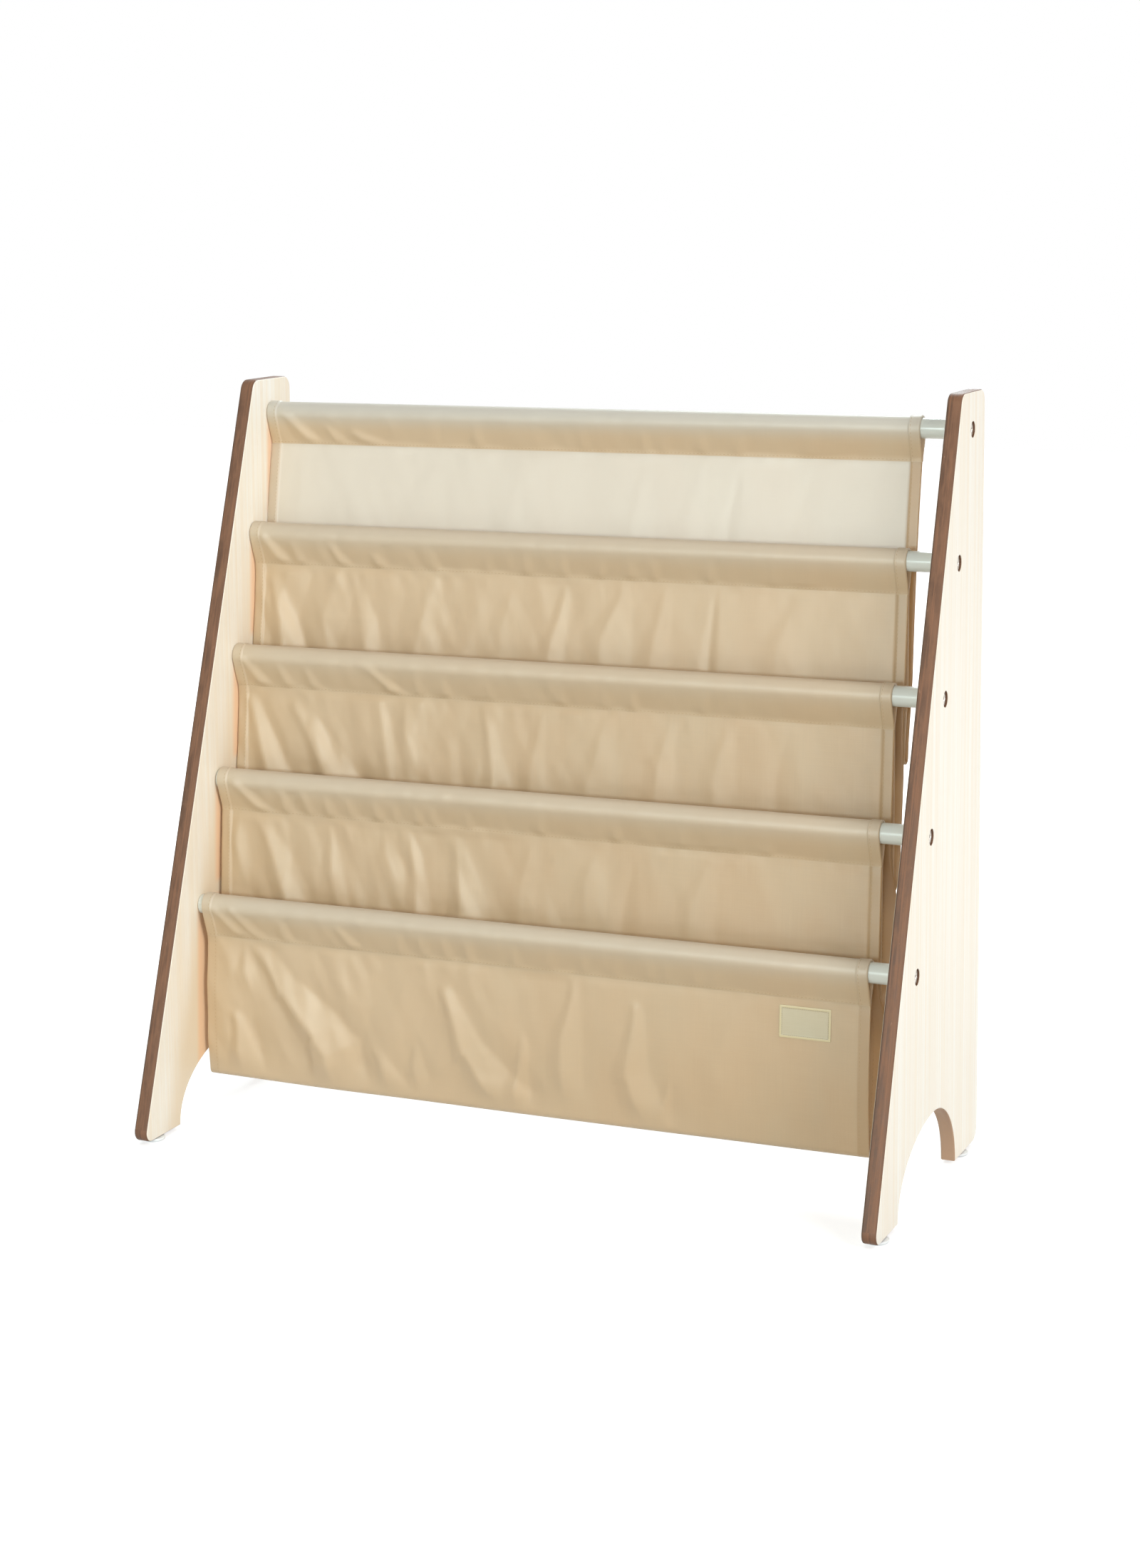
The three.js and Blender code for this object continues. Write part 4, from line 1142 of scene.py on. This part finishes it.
def pale_floor(scene):
    """A plain floor that keeps the shelf's shadow, and turns white away from it."""
    finish, tree, shader, output = begin("studio_floor")
    place = node(tree, "ShaderNodeTexCoord").outputs["Object"]
    dust = noise(tree, place, scale=9.0, detail=3.0)
    join(tree, shader, {
        "Base Color": tint(tree, dust, (0.60, 0.60, 0.60), (0.64, 0.64, 0.64)),
        "Roughness": 0.9, "Specular IOR Level": 0.1})
    path = node(tree, "ShaderNodeLightPath").outputs
    seen = calc(tree, "MAXIMUM", path["Is Camera Ray"], path["Is Glossy Ray"])
    away = node(tree, "ShaderNodeVectorMath", {0: place}, operation="LENGTH").outputs["Value"]
    lift = node(tree, "ShaderNodeEmission", {
        "Color": (1, 1, 1, 1),
        "Strength": product(tree, seen, span(tree, away, 0.35, 1.1, 0.62, 1.0))})
    both = node(tree, "ShaderNodeAddShader", {0: shader.outputs[0], 1: lift.outputs[0]})
    tree.links.new(both.outputs[0], output.inputs["Surface"])
    reach, level = 6.0, -0.0002
    mesh = bpy.data.meshes.new("studio_floor")
    mesh.from_pydata([(x * reach, y * reach, level) for x, y in (
        (-1, -1), (1, -1), (1, 1), (-1, 1))], [], [(0, 1, 2, 3)])
    mesh.materials.append(finish)
    floor = bpy.data.objects.new("studio_floor", mesh)
    scene.collection.objects.link(floor)


class SHELF_OT_stage(bpy.types.Operator):
    """Makes the camera, the lamps, the even light and the pale floor"""

    bl_idname = "shelf.stage"
    bl_label = "Stage"

    def execute(self, context):
        _, _, stage = settings(context)
        scene = context.scene
        scene.view_settings.view_transform = "Standard"
        hold_camera(scene, stage.lens)
        even_light(scene, stage.ambient)
        low_middle = (0.0, 0.0, 0.30)
        # Each lamp's name, place, target, width, power and colour
        for lamp in (
                ("key_lamp", (4.9, -2.3, 3.3), (0.0, 0.0, 0.33), 3.2, stage.key, (1, 0.99, 0.97)),
                ("rear_lamp", (-0.4, 2.3, 2.3), (0.0, 0.1, 0.45), 1.4, stage.rear, (0.84, 0.96, 1)),
                ("front_lamp", (-0.1, -2.25, 0.66), low_middle, 0.35, stage.fill, (0.82, 1, 0.99)),
                ("near_lamp", (0.8, -2.3, 1.0), low_middle, 0.4, stage.near, (1, 1, 1))):
            hang_lamp(scene, *lamp)
        pale_floor(scene)
        return {"FINISHED"}


class SHELF_OT_panels(bpy.types.Operator):
    """Makes both side panels: brown boards with rounded edges, and their pale faces"""

    bl_idname = "shelf.panels"
    bl_label = "Side panels"

    def execute(self, context):
        size, colours, _ = settings(context)
        edge = finish_named("edge_fibreboard", lambda: edge_finish(colours.edge))
        face = finish_named("maple_laminate", lambda: maple_laminate(colours.laminate))
        inner_low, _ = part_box("right_panel_inner_laminate")
        _, outer_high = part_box("right_panel_outer_laminate")
        middle = (inner_low.x + outer_high.x) / 2
        half = (outer_high.x - inner_low.x) / 2
        radius = size.edge_radius
        core_half = half - size.laminate
        flat = half - radius
        seam = math.asin((core_half - flat) / radius)

        def shoulder(angles):
            """Stations and insets round the board's edge: flat + R sin a, and R - R cos a."""
            return flat + radius * np.sin(angles), radius - radius * np.cos(angles)

        x_core, in_core = shoulder(np.linspace(0, seam, 7))
        x_face, in_face = shoulder(np.linspace(seam, math.pi / 2, 6))
        seat = half - size.counterbore_depth
        layers = {
            "core": (edge, "edge_fibreboard", np.concatenate([-x_core[::-1], x_core]),
                     np.concatenate([in_core[::-1], in_core]),
                     [(size.bolt_hole, -core_half), (size.bolt_hole, seat),
                      (size.counterbore, seat), (size.counterbore, core_half)]),
            "outer_laminate": (face, "maple_laminate", x_face, in_face,
                               [(size.counterbore, core_half), (size.counterbore, half)]),
            "inner_laminate": (face, "maple_laminate", -x_face[::-1], in_face[::-1],
                               [(size.bolt_hole, -half), (size.bolt_hole, -core_half)]),
        }
        for layer, (finish, slot, stations, insets, holes) in layers.items():
            points, faces, charts = board(size, stations, insets, holes)
            for side, sign in SIDES:
                placed = points * np.array([sign, 1, 1]) + np.array([sign * middle, 0, 0])
                make(f"{side}_board_{layer}", placed, faces, finish,
                     node=f"{side}_panel_{layer}", charts=charts, sharp=32)
        return {"FINISHED"}


class SHELF_OT_rods(bpy.types.Operator):
    """Makes the five white rods, and gives the plugs in their ends a moulded finish"""

    bl_idname = "shelf.rods"
    bl_label = "Rods"

    def execute(self, context):
        size, colours, _ = settings(context)
        white = finish_named("white_coated_tube", lambda: speckled(
            "white_coated_tube", colours.rod, roughness=0.30, variation=0.02,
            grain_scale=700.0, grain_rise=0.00002))
        turn = np.linspace(0, math.pi / 2, 5)
        lip = 0.0005
        for number in range(1, RODS + 1):
            low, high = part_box(f"rod_{number}")
            radius = (high.z - low.z) / 2
            half = (high.x - low.x) / 2
            bore = radius - size.rod_wall
            right = np.stack([radius - lip + lip * np.cos(turn), half - lip + lip * np.sin(turn)],
                             axis=1)
            left = right[::-1] * np.array([1, -1])
            body = np.stack([np.full(9, radius), np.linspace(-0.9 * half, 0.9 * half, 9)], axis=1)
            profile = np.concatenate([[[bore, -half]], left, body, right, [[bore, half]],
                                      [[bore, -half]]])
            y, z = rod_place(number)
            points, faces, charts = turned(profile, size.round_sides, (0, y, z), (1, 0, 0))
            make(f"rod_tube_{number}", points, [faces], white, node=f"rod_{number}",
                 charts=[charts], weld=True)
        plastic = finish_named("plug_plastic", lambda: speckled(
            "plug_plastic", colours.plug, roughness=0.5, variation=0.18,
            grain_scale=1400.0, grain_rise=0.00003))
        for name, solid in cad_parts.items():
            if "_rod_plug_" in name:
                solid.data.materials.clear()
                solid.data.materials.append(plastic)
        return {"FINISHED"}


class SHELF_OT_bolts(bpy.types.Operator):
    """Makes the ten bolts: low round heads with a hexagon socket, and threaded shanks"""

    bl_idname = "shelf.bolts"
    bl_label = "Bolts"

    def execute(self, context):
        _, colours, _ = settings(context)
        steel = finish_named("bolt_steel", lambda: brushed_steel(colours.steel))
        sides = 48
        angle = 2 * np.pi * np.arange(sides) / sides
        hexagon = math.cos(math.pi / 6) / np.cos((angle + np.pi / 6) % (np.pi / 3) - np.pi / 6)
        head, rise, lip = 0.0062, 0.0022, 0.0006
        socket, depth = 0.002 / math.cos(math.pi / 6), 0.0016
        length, shank, pitch = 0.022, 0.003, 0.001
        rows = int(length / pitch * 6)
        down = np.linspace(-length, -0.0006, rows)
        turn = np.linspace(0, math.pi / 2, 6)
        profile = [(0, -length), (shank * 0.72, -length)]
        profile += [(shank, z) for z in down]
        profile += [(shank * 0.9, 0.0), (head - 0.0002, 0.0), (head, 0.0002)]
        profile += [(head - lip + lip * math.cos(a), rise - lip + lip * math.sin(a)) for a in turn]
        top = len(profile)
        profile += [(socket + 0.0004, rise), (socket + 0.00015, rise - 0.00004),
                    (socket, rise - 0.00025), (socket, rise - depth), (0, rise - depth - 0.0002)]
        profile = np.array(profile)
        factors = np.ones((len(profile), sides))
        factors[top + 1:] = hexagon
        factors[top] = 0.5 + 0.5 * hexagon
        # Thread: the shank's radius falls by a tenth between crests that climb once round a
        # pitch, and its first turns taper
        phase = down[:, None] / pitch - angle[None, :] / (2 * np.pi)
        factors[2:2 + rows] = 1 - 0.10 * (0.5 - 0.5 * np.cos(2 * np.pi * phase))
        factors[2:5] *= np.array([0.86, 0.93, 0.97])[:, None]
        for number in range(1, RODS + 1):
            y, z = rod_place(number)
            for side, sign in SIDES:
                low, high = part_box(f"{side}_bolt_{number}")
                outer = high.x if sign > 0 else low.x
                seat = outer - sign * rise
                points, faces, charts = turned(profile, sides, (seat, y, z), (sign, 0, 0), factors)
                make(f"{side}_bolt_turned_{number}", points, [faces], steel,
                     node=f"{side}_bolt_{number}", charts=[charts],
                     sharp=30, weld=True)
        return {"FINISHED"}


class SHELF_OT_glides(bpy.types.Operator):
    """Makes the four glides under the feet, each with its pin"""

    bl_idname = "shelf.glides"
    bl_label = "Glides"

    def execute(self, context):
        size, colours, _ = settings(context)
        plastic = finish_named("glide_plastic", lambda: speckled(
            "glide_plastic", colours.glide, roughness=0.38, variation=0.03,
            grain_scale=900.0, grain_rise=0.00003))
        turn = np.linspace(0, math.pi / 2, 7)
        seat, bulge, pin = 0.00275, 0.0019, 0.0015
        for side, _ in SIDES:
            for foot in ("front", "rear"):
                low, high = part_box(f"{side}_{foot}_glide")
                radius = (high.x - low.x) / 2
                profile = [(0, 0), (radius - bulge, 0)]
                profile += [(radius - bulge + bulge * math.sin(a), bulge - bulge * math.cos(a))
                            for a in turn]
                profile += [(radius, seat - 0.0003), (radius - 0.0003, seat), (pin, seat),
                            (pin, high.z - 0.001), (0.0008, high.z), (0, high.z)]
                centre = ((low.x + high.x) / 2, (low.y + high.y) / 2, 0)
                points, faces, charts = turned(
                    np.array(profile), size.round_sides, centre, (0, 0, 1))
                make(f"{side}_{foot}_glide_pad", points, [faces], plastic,
                     node=f"{side}_{foot}_glide", charts=[charts],
                     weld=True)
        return {"FINISHED"}


class SHELF_OT_canvas(bpy.types.Operator):
    """Makes the canvas strip: five sleeves, four pockets and the thread that sews them"""

    bl_idname = "shelf.canvas"
    bl_label = "Canvas"

    def execute(self, context):
        size, colours, _ = settings(context)
        cloth = finish_named("canvas", lambda: woven(
            "canvas", colours.canvas, pitch=0.0009, through=0.42, hem=True))
        thread = finish_named("sewing_thread", lambda: speckled(
            "sewing_thread", shade(colours.canvas, (0.86, 0.84, 0.80)), roughness=0.85,
            variation=0.06, grain_scale=4000.0, grain_rise=0.00004, gloss=0.1))
        radius = size.thread / 2

        def sewn(surface, away):
            """Stitches along a line of points."""
            return thread_line(surface, away, size.stitch * STITCH_PITCH, size.stitch, radius,
                               -THREAD_SINK * radius)

        def along_hems(skins, middle, columns):
            """Stitches along both side hems, on each of the skins."""
            fold = size.hem / MM - HEM_STITCH
            return [sewn(*line_at(skin, middle, np.arange(len(middle)),
                                  np.interp(place, columns, np.arange(len(columns)))))
                    for place in (columns[0] + fold, columns[-1] - fold) for skin in skins]

        for number in range(1, RODS + 1):
            middle, run, columns = sleeve_middle(number, size)
            # Each sleeve gets painted hem shade, painted side light, and a painted highlight on its
            # upper part, which starts here
            top_light_start, top_light_soft = rod_place(number)[1] / MM - 15, 23
            _, inner = hung_cloth(
                f"canvas_sleeve_{number}", middle, run, columns, cloth,
                f"sling_sleeve_{number}", size, [(0.0, 0.15)] * 2,
                [(1.0, 0.4)] * 2, (top_light_start, top_light_soft, SLEEVE_TOP_HIGHLIGHT[number - 1]))
            # The seam's rows stop short of the strip's edges
            seams = [line_at(inner, middle * MM, index, np.arange(len(columns)))
                     for index in (1, len(middle) - 2)]
            rows = [sewn(surface[3:-3], away[3:-3]) for surface, away in seams]
            points, faces = joined(rows + along_hems([inner], middle * MM, columns))
            make(f"sleeve_stitches_{number}", points, faces, thread, sharp=60)
        # The top wall's upper part gets painted backlight above this height
        palest_start, palest_soft = rod_place(2)[1] / MM - 12, 9
        for number in range(1, RODS):
            middle, run, columns = pocket_middle(number, size)
            first, last = number == 1, number == RODS - 1
            # Each pocket gets painted hem shade and painted side light
            skins = hung_cloth(
                f"canvas_pocket_{number}", middle, run, columns, cloth,
                f"sling_pocket_{number}", size,
                ((0.1, 0.7) if last else (0.0, 0.15), (0.4, 0.9) if first else (0.1, 0.7)),
                (PAINTED_SIDE_LIGHT[number] if last else (1.0, 1.0), PAINTED_SIDE_LIGHT[number - 1]),
                (palest_start, palest_soft, 0.85 if first else 0.0))
            points, faces = joined(along_hems(skins, middle * MM, columns))
            make(f"pocket_stitches_{number}", points, faces, thread, sharp=60)
        return {"FINISHED"}


class SHELF_OT_label(bpy.types.Operator):
    """Makes the bare label patch on the lowest pocket, with its sewn border"""

    bl_idname = "shelf.label"
    bl_label = "Label"

    def execute(self, context):
        size, colours, _ = settings(context)
        low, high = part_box("label")
        width, height = (high.x - low.x) / MM, (high.z - low.z) / MM
        rim, inset = 0.0017, 2.0
        cloth = finish_named("label_cloth", lambda: woven(
            "label_cloth", colours.label, pitch=0.0005, border=(width * MM, height * MM, rim)))
        thread = finish_named("label_thread", lambda: speckled(
            "label_thread", colours.label_thread, roughness=0.8, variation=0.1,
            grain_scale=4000.0, grain_rise=0.00003, gloss=0.2))
        middle, _, columns = pocket_middle(RODS - 1, size)
        outer, _, _ = cloth_skins(middle, columns, columns[-1], size.cloth / MM, size.hem / MM)
        # The canvas under the patch: rows are found on the front wall, and columns near its top
        u = np.linspace(-width / 2, width / 2, 49)
        v = np.linspace(height / 2, -height / 2, 31)
        x0, z0 = (low.x + high.x) / 2 / MM, (low.z + high.z) / 2 / MM
        wall = 60
        rows = np.interp(v + z0, middle[:wall, 200, 2][::-1], np.arange(wall)[::-1])
        cols = np.interp(u + x0, middle[5, :, 0], np.arange(len(columns)))
        canvas_y = blended(outer, rows[:, None], cols[None, :])[..., 1]
        # The patch is stiffer than the canvas, so it follows only the canvas's slower waves
        gu, gv = np.meshgrid(u, v)
        terms = np.stack([np.ones_like(gu), gu, gv, gu ** 2, gv ** 2, gu * gv], axis=-1)
        fit, *_ = np.linalg.lstsq(terms.reshape(-1, 6), canvas_y.ravel(), rcond=None)
        depth = terms @ fit
        depth = depth - np.max(depth - canvas_y) - 0.02
        to_edge = np.minimum(width / 2 - np.abs(gu), height / 2 - np.abs(gv))
        swelling = 0.32 + 0.16 * (1 - smooth(1.3, 2.1, to_edge))
        swelling += 0.03 * cloud(gu, gv, 3.0, 2.6, 500) - 0.10 * (1 - smooth(0, 0.5, to_edge))
        front, back = (np.stack([gu + x0, y, gv + z0], axis=-1) * MM
                       for y in (depth - swelling, depth))
        points, faces, charts = closed_sheet(front, back, np.stack([gu, gv], axis=-1) * MM)
        patch = make("label_patch", points, faces, cloth, node="label",
                     charts=charts, sharp=50)
        # Stitches follow a rectangle inside the folded rim
        reach = np.array([width / 2 - inset, height / 2 - inset])
        corners = reach * np.array([(-1, 1), (1, 1), (1, -1), (-1, -1)])
        t = np.linspace(0, 1, 60)[:, None]
        rows = []
        for a, b in zip(corners, np.roll(corners, -1, axis=0)):
            line_u, line_v = (a + (b - a) * t).T
            line = blended(front, np.interp(-line_v, -v, np.arange(len(v))),
                           np.interp(line_u, u, np.arange(len(u))))
            away = np.tile([0.0, -1.0, 0.0], (len(t), 1))
            rows.append(thread_line(line, away, step=1.7 * MM, length=1.35 * MM,
                                    radius=0.13 * MM, lift=0.03 * MM))
        points, faces = joined(rows)
        stitches = make("label_stitches", points, faces, thread, sharp=60)
        return {"FINISHED"}


class SHELF_PT_sidebar(bpy.types.Panel):
    """Lists the shelf's pieces and sizes"""

    bl_label = "Sling Bookshelf"
    bl_idname = "SHELF_PT_sidebar"
    bl_space_type = "VIEW_3D"
    bl_region_type = "UI"
    bl_category = "Shelf"

    def draw(self, context):
        for group in settings(context):
            box = self.layout.box()
            for key in group.__annotations__:
                box.prop(group, key)
        for name in STEPS:
            self.layout.operator(f"shelf.{name}")


STEPS = ("stage", "panels", "rods", "bolts", "glides", "canvas", "label")
CLASSES = (
    ShelfSizes, ShelfColours, ShelfStage, SHELF_OT_stage, SHELF_OT_panels, SHELF_OT_rods,
    SHELF_OT_bolts, SHELF_OT_glides, SHELF_OT_canvas, SHELF_OT_label, SHELF_PT_sidebar,
)


def register():
    for item in CLASSES:
        bpy.utils.register_class(item)
    bpy.types.Scene.shelf_sizes = PointerProperty(type=ShelfSizes)
    bpy.types.Scene.shelf_colours = PointerProperty(type=ShelfColours)
    bpy.types.Scene.shelf_stage = PointerProperty(type=ShelfStage)


def unregister():
    del bpy.types.Scene.shelf_stage
    del bpy.types.Scene.shelf_colours
    del bpy.types.Scene.shelf_sizes
    for item in reversed(CLASSES):
        bpy.utils.unregister_class(item)


def main():
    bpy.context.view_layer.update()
    register()
    for name in STEPS:
        getattr(bpy.ops.shelf, name)()


if __name__ == "__main__":
    main()
